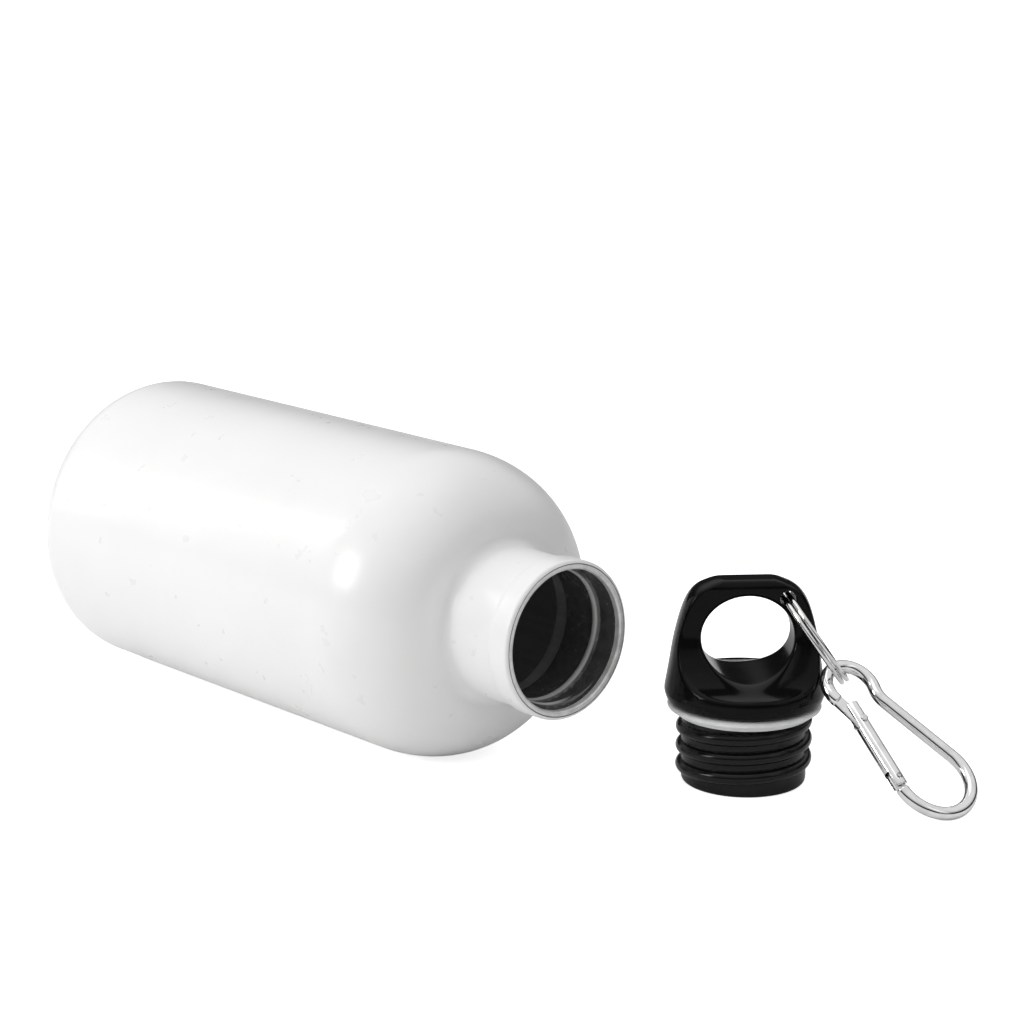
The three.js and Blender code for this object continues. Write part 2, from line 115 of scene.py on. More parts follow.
def hook_place(pivot_along, gate_line):
    """Hook's own frame: eye centre at the origin, +Z square to its plane, gate along +X at -Y.

    The line from the eye to the gate's pivot is (pivot_along, -gate_line) in that plane, so
    turning it back about +Z by atan2(gate_line, pivot_along) gives +X.
    """
    normal = unit(JOINTS["hook_swing"]["axis"])
    eye = np.array(JOINTS["hook_swing"]["pos_m"])
    reach = np.array(JOINTS["gate_open"]["pos_m"]) - eye
    reach = unit(reach - normal * (reach @ normal))
    back = np.arctan2(gate_line, pivot_along)
    along = reach * np.cos(back) + np.cross(normal, reach) * np.sin(back)
    return placed(eye, along, np.cross(normal, along), normal)


def ring_place(sizes):
    """Split ring's own frame: centre at the origin and +Z along its axis.

    The ring hangs from the eyelet and leans until its low point is clear of the flange by the
    hook's bar: cos(lean) = (low point's reach - eyelet's reach) / (2 radius - sag / 2).
    """
    stopper, ring, hook = sizes
    sag = ring.radius - np.sqrt(ring.radius**2 - stopper.half_thickness**2)
    out = stopper.flange_radius + 2 * hook.bar_radius + ring.gap
    base = stopper_place()
    eyelet = np.linalg.inv(base) @ np.array([*JOINTS["ring_swing"]["pos_m"], 1])
    lean = np.arccos((out - eyelet[0]) / (2 * ring.radius - sag / 2))
    drop = ring.radius - sag / 2
    outward = np.array([np.cos(lean), 0, -np.sin(lean)])
    local = placed(eyelet[:3] + outward * drop, outward, (0, 1, 0), (np.sin(lean), 0, np.cos(lean)))
    return base @ local


# ---------------------------------------------------------------- surfaces


def lattice(rows, columns, ring_rows=False, ring_columns=True):
    """Corner numbers of the quads of a rows x columns grid, joined end to end where asked."""
    row = np.arange(rows if ring_rows else rows - 1)[:, None]
    column = np.arange(columns if ring_columns else columns - 1)[None, :]
    below, beside = (row + 1) % rows, (column + 1) % columns
    corners = [row * columns + column, row * columns + beside,
               below * columns + beside, below * columns + column]
    return np.stack([np.broadcast_to(c, (row.size, column.size)) for c in corners], -1).reshape(-1, 4)


def closed_ends(points, columns):
    """A tube of rings closed by one point at the middle of its first and last ring."""
    rows = len(points) // columns
    rings = points.reshape(rows, columns, 3)
    column = np.arange(columns)
    beside = (column + 1) % columns
    first, last = len(points), len(points) + 1
    end = (rows - 1) * columns
    caps = [np.stack([np.full(columns, first), beside, column], 1),
            np.stack([np.full(columns, last), end + column, end + beside], 1)]
    middles = np.stack([rings[0].mean(0), rings[-1].mean(0)])
    return np.concatenate([points, middles]), [lattice(rows, columns), *caps]


def outward(points, faces):
    """Turns the faces round if the volume they enclose, the sum of a . (b x c) / 6, is negative."""
    volume = 0.0
    for group in faces:
        for third in range(2, group.shape[1]):
            a, b, c = (points[group[:, i]] for i in (0, third - 1, third))
            volume += np.einsum("ij,ij->", a, np.cross(b, c))
    return [group[:, ::-1] for group in faces] if volume < 0 else faces


def turned_grid(radius, height, sides):
    """Points (r cos a, r sin a, z), with radius one number a row, or rows x sides where it changes."""
    angle = TURN * np.arange(sides) / sides
    radius = np.broadcast_to(np.asarray(radius, float).reshape(len(height), -1), (len(height), sides))
    height = np.broadcast_to(np.asarray(height, float)[:, None], radius.shape)
    return np.stack([radius * np.cos(angle), radius * np.sin(angle), height], -1).reshape(-1, 3)


def turned(radius, height, sides, place):
    """Solid of revolution about +Z for a profile that starts and ends on the axis."""
    points, faces = closed_ends(turned_grid(radius, height, sides), sides)
    return moved(points, place), outward(points, faces)


def turned_loop(radius, height, sides, place):
    """Ring-shaped solid of revolution: as turned, for a profile that closes on itself off the axis."""
    points = turned_grid(radius, height, sides)
    return moved(points, place), outward(points, [lattice(len(height), sides, ring_rows=True)])


def carried(line, normal, across, radius, sides, place):
    """Round bar: line(s) + r(s) (cos a * normal(s) + sin a * across(s)), closed at both ends."""
    angle = TURN * np.arange(sides) / sides
    circle = np.cos(angle)[None, :, None] * normal[:, None] + np.sin(angle)[None, :, None] * across[:, None]
    points = (line[:, None] + np.asarray(radius)[:, None, None] * circle).reshape(-1, 3)
    points, faces = closed_ends(points, sides)
    return moved(points, place), outward(points, faces)


def moved(points, place):
    """Points taken from a piece's own frame to the row frame."""
    return points @ place[:3, :3].T + place[:3, 3]


def arc(cx, cy, rx, ry, start, end, steps):
    """Points (cx + rx cos a, cy + ry sin a) for a from start to end degrees."""
    angle = np.radians(np.linspace(start, end, steps))
    return np.stack([cx + rx * np.cos(angle), cy + ry * np.sin(angle)], 1)


def profile(*runs, step=None):
    """One [radius, height] outline from single points and runs of points, long gaps filled every step."""
    points = np.concatenate([np.atleast_2d(run) for run in runs])
    if step is None:
        return points
    gaps = np.linalg.norm(np.diff(points, axis=0), axis=1)
    counts = np.maximum(1, np.ceil(gaps / step).astype(int))
    start = np.repeat(np.arange(len(counts)), counts)
    share = (np.arange(counts.sum()) - np.repeat(np.cumsum(counts) - counts, counts)) / counts[start]
    filled = points[start] + (points[start + 1] - points[start]) * share[:, None]
    return np.concatenate([filled, points[-1:]])


def smooth_step(share):
    """0 to 1 along 3t^2 - 2t^3."""
    share = np.clip(share, 0, 1)
    return share**2 * (3 - 2 * share)


def smooth_max(a, b, blend):
    """The larger of a and b, rounded where they are within blend: + (blend - |a - b|)^2 / (4 blend)."""
    return np.maximum(a, b) + np.maximum(blend - np.abs(a - b), 0) ** 2 / (4 * blend)


def thread_stand(angle, height, start, base, pitch, turns, half_width, stand, run):
    """How far a right-hand thread stands out at (angle, height).

    Its middle is at base + pitch * turn, where turn = (angle - start) / 360 + any whole number.
    Across it the stand is stand * sqrt(1 - s^2) rounded into the wall, with s = offset / half_width,
    and it sinks to nothing over `run` turns at each end.
    """
    first = np.mod((angle - start) / TURN, 1)
    whole = np.arange(int(np.ceil(turns)) + 1)[:, None, None]
    turn = first[None] + whole
    offset = (height[None] - base - pitch * turn) / half_width
    edge = smooth_step(np.minimum(turn, turns - turn) / run)
    crown = np.sqrt(np.clip(1 - offset**2, 0, 1)) * stand * edge
    foot = np.exp(-((np.abs(offset) - 1).clip(0) * 5) ** 2) * stand * 0.06 * edge
    return np.where(turn <= turns, crown + foot, 0).max(0)


# ---------------------------------------------------------------- meshes and pieces


def make_piece(name, parts, body, node, materials, crease=None):
    """Mesh object from (points, groups of faces[, a material number for each group]) parts."""
    points, polygons, numbers, offset = [], [], [], 0
    for part in parts:
        points.append(part[0])
        marks = part[2] if len(part) > 2 else [0] * len(part[1])
        for group, mark in zip(part[1], marks):
            polygons += (group + offset).tolist()
            numbers.append(np.full(len(group), mark))
        offset += len(part[0])
    mesh = bpy.data.meshes.new(name)
    mesh.from_pydata(np.concatenate(points).tolist(), [], polygons)
    for material in materials:
        mesh.materials.append(material)
    mesh.polygons.foreach_set("material_index", np.concatenate(numbers).astype(np.int32))
    piece = bpy.data.objects.new(name, mesh)
    bpy.context.scene.collection.objects.link(piece)
    finish_mesh(mesh, crease)
    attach(piece, body)
    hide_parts(node)
    return piece


def finish_mesh(mesh, crease):
    """Merges points that meet, drops what has no area, and shades smooth but for creases over an angle."""
    shape = bmesh.new()
    shape.from_mesh(mesh)
    bmesh.ops.remove_doubles(shape, verts=shape.verts, dist=5e-7)
    bmesh.ops.dissolve_degenerate(shape, edges=shape.edges, dist=5e-7)
    shape.to_mesh(mesh)
    shape.free()
    mesh.polygons.foreach_set("use_smooth", np.ones(len(mesh.polygons), bool))
    if crease is not None:
        mesh.set_sharp_from_angle(angle=np.radians(crease))
    mesh.update()


def cut(piece, parts, crease):
    """Takes closed (points, faces) shapes away from a piece."""
    for part in parts:
        mesh = bpy.data.meshes.new("cutter")
        mesh.from_pydata(part[0].tolist(), [], [face for group in part[1] for face in group.tolist()])
        cutter = bpy.data.objects.new("cutter", mesh)
        bpy.context.scene.collection.objects.link(cutter)
        tool = piece.modifiers.new("cut", "BOOLEAN")
        tool.object, tool.operation, tool.solver = cutter, "DIFFERENCE", "EXACT"
        settled = piece.evaluated_get(bpy.context.evaluated_depsgraph_get())
        result = bpy.data.meshes.new_from_object(settled)
        piece.modifiers.clear()
        piece.data = result
        bpy.data.objects.remove(cutter)
    finish_mesh(piece.data, crease)


def block(low, high):
    """Box between two corners as (points, faces)."""
    corner = np.array([[x, y, z] for x in (0, 1) for y in (0, 1) for z in (0, 1)])
    points = np.asarray(low) + corner * (np.asarray(high) - np.asarray(low))
    faces = [[0, 1, 3, 2], [4, 6, 7, 5], [0, 4, 5, 1], [2, 3, 7, 6], [0, 2, 6, 4], [1, 5, 7, 3]]
    return points, outward(points, [np.array(faces)])


# ---------------------------------------------------------------- materials


class Finish:
    """A Principled material whose colour, roughness and bump come from noise on Object coordinates."""

    def __init__(self, name, metallic=0.0, coat=0.0, coat_roughness=0.05, specular=0.5, ior=1.5):
        self.material = bpy.data.materials.new(name)
        self.material.use_nodes = True
        self.tree = self.material.node_tree
        self.shader = next(n for n in self.tree.nodes if n.type == "BSDF_PRINCIPLED")
        self.coordinates = self.node("ShaderNodeTexCoord").outputs["Object"]
        self.set(self.shader, {"Metallic": metallic, "Coat Weight": coat, "Coat Roughness": coat_roughness,
                               "Specular IOR Level": specular, "IOR": ior})

    def node(self, kind, **inputs):
        made = self.tree.nodes.new(kind)
        self.set(made, inputs)
        return made

    def set(self, node, inputs):
        for key, value in inputs.items():
            if isinstance(value, bpy.types.NodeSocket):
                self.tree.links.new(value, node.inputs[key])
            else:
                node.inputs[key].default_value = value

    def noise(self, scale, stretch=(1, 1, 1), turn=(0, 0, 0), detail=4.0, rough=0.55):
        """Noise with `scale` features a metre, finer along an axis where stretch is larger."""
        place = self.node("ShaderNodeMapping", Vector=self.coordinates, Scale=stretch, Rotation=turn)
        made = self.node("ShaderNodeTexNoise", Vector=place.outputs[0], Scale=scale, Detail=detail,
                         Roughness=rough)
        return made.outputs["Fac"]

    def ramp(self, value, stops):
        """Colours or greys at given positions of a value."""
        made = self.node("ShaderNodeValToRGB", Fac=value)
        points = made.color_ramp.elements
        while len(points) < len(stops):
            points.new(0.5)
        for point, (position, colour) in zip(points, stops):
            point.position = position
            point.color = (*colour, 1) if hasattr(colour, "__len__") else (colour, colour, colour, 1)
        return made.outputs["Color"]

    def colour(self, value):
        self.set(self.shader, {"Base Color": value})

    def roughness(self, value, low, high):
        made = self.node("ShaderNodeMapRange", Value=value, **{"From Min": 0.3, "From Max": 0.7,
                                                             "To Min": low, "To Max": high})
        self.set(self.shader, {"Roughness": made.outputs[0]})

    def bump(self, *layers):
        """Each layer is (height value, depth in metres, strength)."""
        normal = None
        for value, depth, strength in layers:
            made = self.node("ShaderNodeBump", Height=value, Distance=depth, Strength=strength)
            if normal is not None:
                self.set(made, {"Normal": normal})
            normal = made.outputs["Normal"]
        self.set(self.shader, {"Normal": normal})

    def distance_from(self, place):
        """Distance of a point from the axis of a piece's own frame."""
        axis, origin = unit(place[:3, 2]), place[:3, 3]
        offset = self.node("ShaderNodeVectorMath")
        offset.operation = "SUBTRACT"
        self.set(offset, {0: self.coordinates, 1: tuple(origin)})
        across = self.node("ShaderNodeVectorMath")
        across.operation = "CROSS_PRODUCT"
        self.set(across, {0: offset.outputs[0], 1: tuple(axis)})
        length = self.node("ShaderNodeVectorMath")
        length.operation = "LENGTH"
        self.set(length, {0: across.outputs[0]})
        return length.outputs["Value"]

    def math(self, operation, first, second):
        made = self.node("ShaderNodeMath")
        made.operation = operation
        self.set(made, {0: first, 1: second})
        return made.outputs[0]


def tint(colour, factor):
    """A colour made lighter or darker."""
    return tuple(min(1.0, channel * factor) for channel in colour)


def white_coat(colour):
    """Baked gloss coat: faint cloudiness, slight orange peel, and a hard clear surface."""
    made = Finish("gloss_coat", coat=0.15, coat_roughness=0.12, specular=0.5)
    cloud = made.noise(35, detail=5)
    made.colour(made.ramp(cloud, [(0.3, tint(colour, 0.985)), (0.7, tint(colour, 1.01))]))
    made.roughness(made.noise(160, detail=3), 0.27, 0.34)
    made.bump((made.noise(300, detail=2), 1.2e-5, 0.08))
    return made.material


def bare_rim(colour, place, edge_radius, band_width):
    """Turned aluminium: fine lathe lines round the mouth, and a dark line where the coat stops."""
    made = Finish("turned_rim", metallic=0.4)
    far = made.distance_from(place)
    rings = made.node("ShaderNodeCombineXYZ", X=made.math("MULTIPLY", far, 9000.0))
    lines = made.node("ShaderNodeTexNoise", Vector=rings.outputs[0], Scale=1.0, Detail=3.0)
    stain = made.noise(500, detail=5)
    shade = made.ramp(made.math("ADD", made.math("MULTIPLY", lines.outputs["Fac"], 0.6),
                                made.math("MULTIPLY", stain, 0.4)),
                      [(0.3, tint(colour, 0.62)), (0.55, colour), (0.72, tint(colour, 1.15))])
    share = made.node("ShaderNodeMapRange", Value=far, **{"From Min": edge_radius - band_width,
                                                         "From Max": edge_radius})
    edge = made.ramp(share.outputs[0], [(0.0, 1.0), (0.35, 1.0), (0.6, 0.12), (1.0, 0.1)])
    blend = made.node("ShaderNodeMix")
    blend.data_type, blend.blend_type = "RGBA", "MULTIPLY"
    made.set(blend, {0: 1.0, 6: shade, 7: edge})
    made.colour(blend.outputs[2])
    made.roughness(stain, 0.36, 0.5)
    made.bump((lines.outputs["Fac"], 2.5e-5, 0.5), (stain, 8e-6, 0.3))
    return made.material


def inner_wall(colour):
    """Lacquered inside of the shell, dull and streaked along its length.

    A faint glow stands in for the light that a deep hole gathers over many bounces.
    """
    made = Finish("inside_lacquer", specular=0.35)
    made.set(made.shader, {"Emission Color": (*colour, 1), "Emission Strength": 0.03})
    streak = made.noise(260, stretch=(0.12, 1, 1), detail=4)
    made.colour(made.ramp(streak, [(0.3, tint(colour, 0.75)), (0.7, tint(colour, 1.25))]))
    made.roughness(made.noise(90), 0.38, 0.55)
    made.bump((made.noise(900, detail=3), 1.5e-5, 0.25))
    return made.material


def moulded(name, colour, low, high, specular=0.5, coat=0.0, grain=900):
    """Moulded plastic: flow marks in the colour, uneven polish, and a fine skin texture."""
    made = Finish(name, specular=specular, coat=coat, coat_roughness=0.08)
    flow = made.noise(120, stretch=(1, 1, 2.2), detail=5)
    made.colour(made.ramp(flow, [(0.3, tint(colour, 0.8)), (0.7, tint(colour, 1.3))]))
    made.roughness(made.noise(240, detail=4), low, high)
    made.bump((made.noise(grain, detail=3), 1.2e-5, 0.16), (made.noise(90, detail=2), 5e-5, 0.05))
    return made.material


def lining_with_painted_crest(s, mouth_radius):
    """Dark lining with a painted highlight: a light grey colour along the ridge's crest, set by distance from
    the bottle's axis.
    """
    made = Finish("neck_plastic", specular=0.8)
    far = made.distance_from(bottle_place())
    # Painted highlight mask: rises from 0 to 1 towards the ridge's crest, where the light grey colour is
    # mixed into the plain black.
    crest = made.node("ShaderNodeMapRange", Value=far, **{"From Min": mouth_radius - 0.62 * s.stand,
                                                         "From Max": mouth_radius - 0.9 * s.stand})
    flow = made.noise(300, detail=5)
    plain = made.ramp(flow, [(0.3, tint(s.colour, 0.75)), (0.7, tint(s.colour, 1.25))])
    blend = made.node("ShaderNodeMix")
    blend.data_type = "RGBA"
    made.set(blend, {0: crest.outputs[0], 6: plain, 7: (*s.crest_highlight, 1)})
    made.colour(blend.outputs[2])
    made.roughness(flow, 0.18, 0.3)
    made.bump((made.noise(900, detail=3), 1.2e-5, 0.15))
    return made.material


def silicone(colour):
    """Soft pale rubber with a little light passing through it and dust in its skin."""
    made = Finish("silicone", specular=0.4)
    made.set(made.shader, {"Subsurface Weight": 0.15, "Subsurface Radius": (0.002, 0.002, 0.002),
                           "Subsurface Scale": 1.0, "Sheen Weight": 0.1})
    made.colour(made.ramp(made.noise(450, detail=6), [(0.3, tint(colour, 0.93)), (0.7, tint(colour, 1.05))]))
    made.roughness(made.noise(700), 0.5, 0.66)
    made.bump((made.noise(1800, detail=4), 1.5e-5, 0.3))
    return made.material


def plated(name, colour, low, high, scratch=0.25):
    """Polished plate: cloudy polish, fine crossing scratches, and darker specks."""
    made = Finish(name, metallic=1.0)
    cloud = made.noise(330, detail=6)
    made.colour(made.ramp(cloud, [(0.25, tint(colour, 0.86)), (0.5, colour), (0.75, tint(colour, 1.06))]))
    made.roughness(made.noise(800, detail=5), low, high)
    lines = made.noise(1500, stretch=(0.1, 1, 1), turn=(0.3, 0.5, 0.7), detail=4)
    cross = made.noise(1500, stretch=(1, 0.1, 1), turn=(0.6, 0.2, 0.4), detail=4)
    made.bump((lines, 6e-6, scratch), (cross, 6e-6, scratch), (made.noise(260, detail=2), 1.5e-5, 0.1))
    return made.material


# ---------------------------------------------------------------- sizes and colours


def length(name, description, value):
    """A length in metres, given in millimetres."""
    return FloatProperty(name=name, description=description, default=value * MM, unit="LENGTH", precision=5)


def shade(name, description, value):
    return FloatVectorProperty(name=name, description=description, default=value, subtype="COLOR", size=3,
                               min=0.0, max=1.0)


class BottleSizes(PropertyGroup):
    radius: length("Body radius", "Axis to the outside of the body", 36.5)
    length: length("Length", "Base to mouth", 160)
    wall: length("Wall", "Thickness of the metal", 0.9)
    base_round_axial: length("Base rounding, axial", "Length of the rounding at the base", 6.2)
    base_round_radial: length("Base rounding, radial", "Width of the rounding at the base", 4.8)
    foot_radius: length("Foot radius", "Edge of the hollow in the base", 27)
    base_hollow: length("Base hollow", "Depth of the hollow", 5)
    shoulder_axial: length("Shoulder length", "Along the axis", 23.4)
    shoulder_radial: length("Shoulder width", "Across the axis", 16.2)
    neck_length: length("Neck length", "Shoulder to mouth", 21.8)
    neck_radius: length("Neck radius", "Outside of the neck", 17.6)
    band_radius: length("Band radius", "Rolled band at the mouth", 18.3)
    band_width: length("Band width", "Along the axis", 6)
    mouth_radius: length("Mouth radius", "Clear opening of the rim", 16.15)
    lip_depth: length("Lip depth", "Rim to the neck lining", 1.6)
    coat: shade("Coat", "Gloss coat outside", (0.89, 0.89, 0.885))
    metal: shade("Bare metal", "Rim face", (0.84, 0.84, 0.83))
    inside: shade("Inside", "Lacquer inside", (0.19, 0.2, 0.195))


class LiningSizes(PropertyGroup):
    wall: length("Wall", "Thickness of the lining", 0.6)
    fit: length("Fit", "Gap to the neck", 0.15)
    length: length("Length", "Along the neck", 16)
    pitch: length("Pitch", "Thread pitch", 4.5)
    ridge: length("Ridge half-width", "Half the width of the thread ridge", 1.1)
    stand: length("Ridge stand", "How far the ridge stands in", 1.0)
    turns: FloatProperty(name="Turns", description="Turns of the ridge", default=1.6)
    colour: shade("Colour", "Black lining", (0.07, 0.072, 0.07))
    # Colour of the painted highlight along the thread ridge's crest.
    crest_highlight: shade("Painted crest highlight", "Painted highlight along the ridge's crest", (0.6, 0.6, 0.59))


class StopperSizes(PropertyGroup):
    plug_radius: length("Plug radius", "Core of the threaded plug", 14.2)
    plug_height: length("Plug height", "Floor to the seal", 16.1)
    plug_wall: length("Plug wall", "Thickness of the cup", 2.4)
    plug_floor: length("Plug floor", "Thickness of its end", 2)
    plug_chamfer: length("Plug edge", "Bevel round its end", 0.9)
    stem_radius: length("Stem radius", "Where the seal sits", 13.4)
    crest: length("Crest half-width", "Half the width of the thread", 1.45)
    crest_stand: length("Crest stand", "How far the thread stands out", 1.3)
    crest_turns: FloatProperty(name="Crest turns", description="Turns of thread", default=3.3)
    seal_height: length("Seal height", "Plug to flange", 3.1)
    seal_lower: length("Seal lower radius", "Lower edge of the seal", 15.6)
    seal_upper: length("Seal upper radius", "Upper edge of the seal", 17.6)
    seal_fit: length("Seal fit", "Gap round the seal", 0.3)
    flange_radius: length("Flange radius", "Widest part of the grip", 18.45)
    flange_lip: length("Flange lip", "Lower edge of the flange", 17.6)
    flange_rise: length("Flange rise", "Lower edge to widest part", 2.2)
    height: length("Grip height", "Flange to the top of the loop", 28.55)
    top_radius: length("Top radius", "Half the width of the top", 7.4)
    half_thickness: length("Loop half-thickness", "Front to middle of the loop", 4.2)
    scoop_radius: length("Scoop radius", "Curve of the hollowed sides", 13)
    shelf: length("Shelf height", "Flange to the bottom of the scoops", 4.5)
    finger_width: length("Finger hole half-width", "Half the width of the hole", 10.6)
    finger_height: length("Finger hole half-height", "Half the height of the hole", 9.5)
    finger_centre: length("Finger hole centre", "Flange to its centre", 15.4)
    colour: shade("Colour", "Gloss black plastic", (0.004, 0.004, 0.0043))
    thread_colour: shade("Thread colour", "Black plastic of the plug", (0.005, 0.005, 0.0053))
    seal_colour: shade("Seal colour", "Pale grey silicone", (0.82, 0.83, 0.83))


class RingSizes(PropertyGroup):
    radius: length("Radius", "Axis to the middle of the wire", 12.3)
    wire: length("Wire radius", "Half the wire's thickness", 0.55)
    pitch: length("Pitch", "Coil to coil", 1.3)
    gap: length("Gap", "Ring to flange beyond the hook's bar", 0.7)
    turns: FloatProperty(name="Turns", description="Turns of wire", default=1.94)
    start: FloatProperty(name="Start", description="Where the wire starts", default=np.radians(45),
                         subtype="ANGLE")
    colour: shade("Colour", "Nickel plate", (0.72, 0.72, 0.71))


class HookSizes(PropertyGroup):
    bar_radius: length("Bar radius", "Half the thickness of the bent bar", 1.5)
    eye: length("Eye radius", "Bend at the small end", 6)
    end: length("End radius", "Bend at the big end", 9.3)
    end_along: length("Hook length", "Eye centre to the centre of the big end", 26.8)
    gate_line: length("Gate line", "Eye centre to the gate's axis", 2.9)
    waist: length("Waist radius", "Inward bend beside the eye", 6)
    waist_along: length("Waist place", "Eye centre to the centre of that bend", 2.8)
    tang_bend: FloatProperty(name="Tang bend", description="How far past the side the bar stops",
                             default=np.radians(28), subtype="ANGLE")
    plate: length("Plate", "Thickness of the tang and the nose", 1.3)
    clear: length("Clearance", "Gap between moving pieces", 0.3)
    gate_radius: length("Gate radius", "Outside of the gate tube", 1.8)
    gate_bore: length("Gate bore", "Inside of the gate tube", 1.25)
    gate_start: length("Gate start", "Eye centre to its near end", 4.3)
    pivot: length("Pivot", "Eye centre to the rivet", 9.1)
    gate_end: length("Gate end", "Eye centre to its far end", 26.9)
    latch: length("Latch", "Eye centre to the latch pin", 24.9)
    tang: length("Tang radius", "Half the width of the tang", 1.3)
    nose: length("Nose half-width", "Half the width of the nose", 1.15)
    nose_tip: length("Nose tip", "Nose beyond its notch", 0.9)
    rivet: length("Rivet radius", "Shaft of the hinge rivet", 0.5)
    rivet_head: length("Rivet head", "Radius of its heads", 0.9)
    head_height: length("Head height", "How far a head stands out", 0.35)
    latch_pin: length("Latch pin radius", "Pin across the gate's far end", 0.45)
    spring_end: length("Bore end", "Eye centre to the end of the bore", 21.3)
    colour: shade("Colour", "Polished plate", (0.8, 0.8, 0.8))


class StageSettings(PropertyGroup):
    floor_radius: FloatProperty(name="Floor radius", description="Reach of the floor", default=9.0,
                                unit="LENGTH")
    floor: shade("Floor", "Pale floor", (0.93, 0.93, 0.93))
    glow: FloatProperty(name="Floor glow", description="Light from the floor itself", default=0.8)
    lens: FloatProperty(name="Lens", description="Focal length in mm", default=95.83, unit="CAMERA")
    azimuth: FloatProperty(name="Azimuth", description="Camera turned from looking along +Y",
                           default=np.radians(48.28), subtype="ANGLE")
    elevation: FloatProperty(name="Elevation", description="Camera above level",
                             default=np.radians(13.54), subtype="ANGLE")
    camera_from_mouth: FloatVectorProperty(name="Camera place", description="From the middle of the mouth",
                                           default=(0.42647, -0.39681, 0.16969), subtype="TRANSLATION",
                                           unit="LENGTH")
    facets: IntProperty(name="Sides", description="Sides of the round pieces", default=192)


SETTINGS = {"bottle": BottleSizes, "lining": LiningSizes, "stopper": StopperSizes, "split_ring": RingSizes,
            "hook": HookSizes, "stage": StageSettings}


def sizes(name):
    """One group of sizes, held on the scene."""
    return getattr(bpy.context.scene, "bottle_set_" + name)


# ---------------------------------------------------------------- bottle


class BOTTLESET_OT_shell(Operator):
    """Builds the coated metal shell, with its bare rim and dark inside"""

    bl_idname = "bottleset.shell"
    bl_label = "Bottle shell"

    def execute(self, context):
        """The outline runs from the base's middle up the outside, over the rim and back down the inside.

        Ellipse quarters (c + r cos a, c + r sin a) make the base rounding, shoulder, neck fillet and lip.
        """
        b, lining = sizes("bottle"), sizes("lining")
        seat = b.mouth_radius + lining.wall + lining.fit
        shoulder_end = -b.neck_length
        shoulder_centre = shoulder_end - b.shoulder_axial
        shoulder_edge = b.radius - b.shoulder_radial
        fillet = shoulder_edge - b.neck_radius
        base = -b.length
        rim_start = b.band_radius - COAT_STOP
        rise = np.linspace(0, 1, 12)[:, None]
        collar = np.hstack([b.neck_radius + (b.band_radius - b.neck_radius) * smooth_step(rise),
                            -b.band_width - 0.9 * MM + rise * 1.7 * MM])
        hollow = np.linspace(0, 1, 30)[:, None]
        dish = np.hstack([hollow * (b.foot_radius - 1.2 * MM),
                          base + b.base_hollow * (1 - smooth_step(hollow * 0.93) ** 1.1)])
        foot = arc(b.foot_radius + 0.5 * MM, base + 1.2 * MM, 1.6 * MM, 1.2 * MM, 205, 270, 7)
        body_foot = b.radius - b.base_round_radial
        outside = profile(
            dish, foot,
            arc(body_foot, base + b.base_round_axial, b.base_round_radial, b.base_round_axial, -90, 0, 20),
            arc(shoulder_edge, shoulder_centre, b.shoulder_radial, b.shoulder_axial, 0, 90, 60),
            arc(shoulder_edge, shoulder_end + fillet, fillet, fillet, -90, -180, 14)[1:],
            collar,
            arc(b.band_radius - 0.8 * MM, -0.8 * MM, 0.8 * MM, 0.75 * MM, 0, 88, 12),
            step=2.5 * MM)
        rim = profile(
            [rim_start, -0.12 * MM], [rim_start - 0.06 * MM, -0.16 * MM], [rim_start - 0.16 * MM, 0],
            arc(b.mouth_radius + 0.5 * MM, -0.5 * MM, 0.5 * MM, 0.5 * MM, 90, 180, 10),
            [b.mouth_radius, -b.lip_depth], [seat, -b.lip_depth - 0.01 * MM], step=0.35 * MM)
        w = b.wall
        inside = profile(
            [seat, -b.lip_depth - lining.length - 2 * lining.fit],
            [seat + 0.2 * MM, shoulder_end - w * 0.4],
            arc(shoulder_edge, shoulder_centre, b.shoulder_radial - w, b.shoulder_axial - w, 75, 0, 40),
            arc(body_foot, base + b.base_round_axial, b.base_round_radial - w, b.base_round_axial - w,
                0, -90, 16),
            dish[::-1] + [0, w], step=2.5 * MM)
        outline = np.concatenate([outside, rim, inside])
        outline[[0, -1], 0] = 0.02 * MM
        side_count = sizes("stage").facets
        place = bottle_place()
        points, faces = turned(outline[:, 0], outline[:, 1], side_count, place)
        quads, first, last = faces
        strip = np.repeat(np.arange(len(outline) - 1), side_count)
        start, end = len(outside) - 1, len(outside) + len(rim) - 1
        coat, bare, dark = quads[strip < start], quads[(strip >= start) & (strip < end)], quads[strip >= end]
        materials = [white_coat(b.coat), bare_rim(b.metal, place, rim_start, DARK_LINE), inner_wall(b.inside)]
        make_piece("bottle_wall", [(points, [coat, first, bare, dark, last], [0, 0, 1, 2, 2])],
                   "bottle", "bottle_shell", materials, crease=50)
        return {"FINISHED"}


class BOTTLESET_OT_lining(Operator):
    """Builds the threaded lining of the neck"""

    bl_idname = "bottleset.lining"
    bl_label = "Neck lining"

    def execute(self, context):
        """Inner radius = mouth radius - stand of the ridge at (angle, height); outer radius is constant."""
        b, s = sizes("bottle"), sizes("lining")
        top = -b.lip_depth - s.fit
        low = top - s.length
        height = np.linspace(low, top, 150)
        sides = 320
        angle = TURN * np.arange(sides) / sides
        grid_angle, grid_height = np.meshgrid(angle, height)
        base = top - s.ridge - 0.6 * MM - s.pitch * s.turns
        stand = thread_stand(grid_angle, grid_height, LINING_START, base, s.pitch, s.turns,
                             s.ridge, s.stand, 0.2)
        room = smooth_step((top - grid_height) / (0.3 * MM)) * smooth_step((grid_height - low) / (0.3 * MM))
        inner = b.mouth_radius - stand * room
        outer = np.full((2, sides), b.mouth_radius + s.wall)
        radius = np.concatenate([inner, outer])
        part = turned_loop(radius, np.concatenate([height, [top, low]]), sides, bottle_place())
        make_piece("neck_lining", [part], "bottle", "neck_sleeve",
                   [lining_with_painted_crest(s, b.mouth_radius)], crease=50)
        return {"FINISHED"}


# ---------------------------------------------------------------- stopper


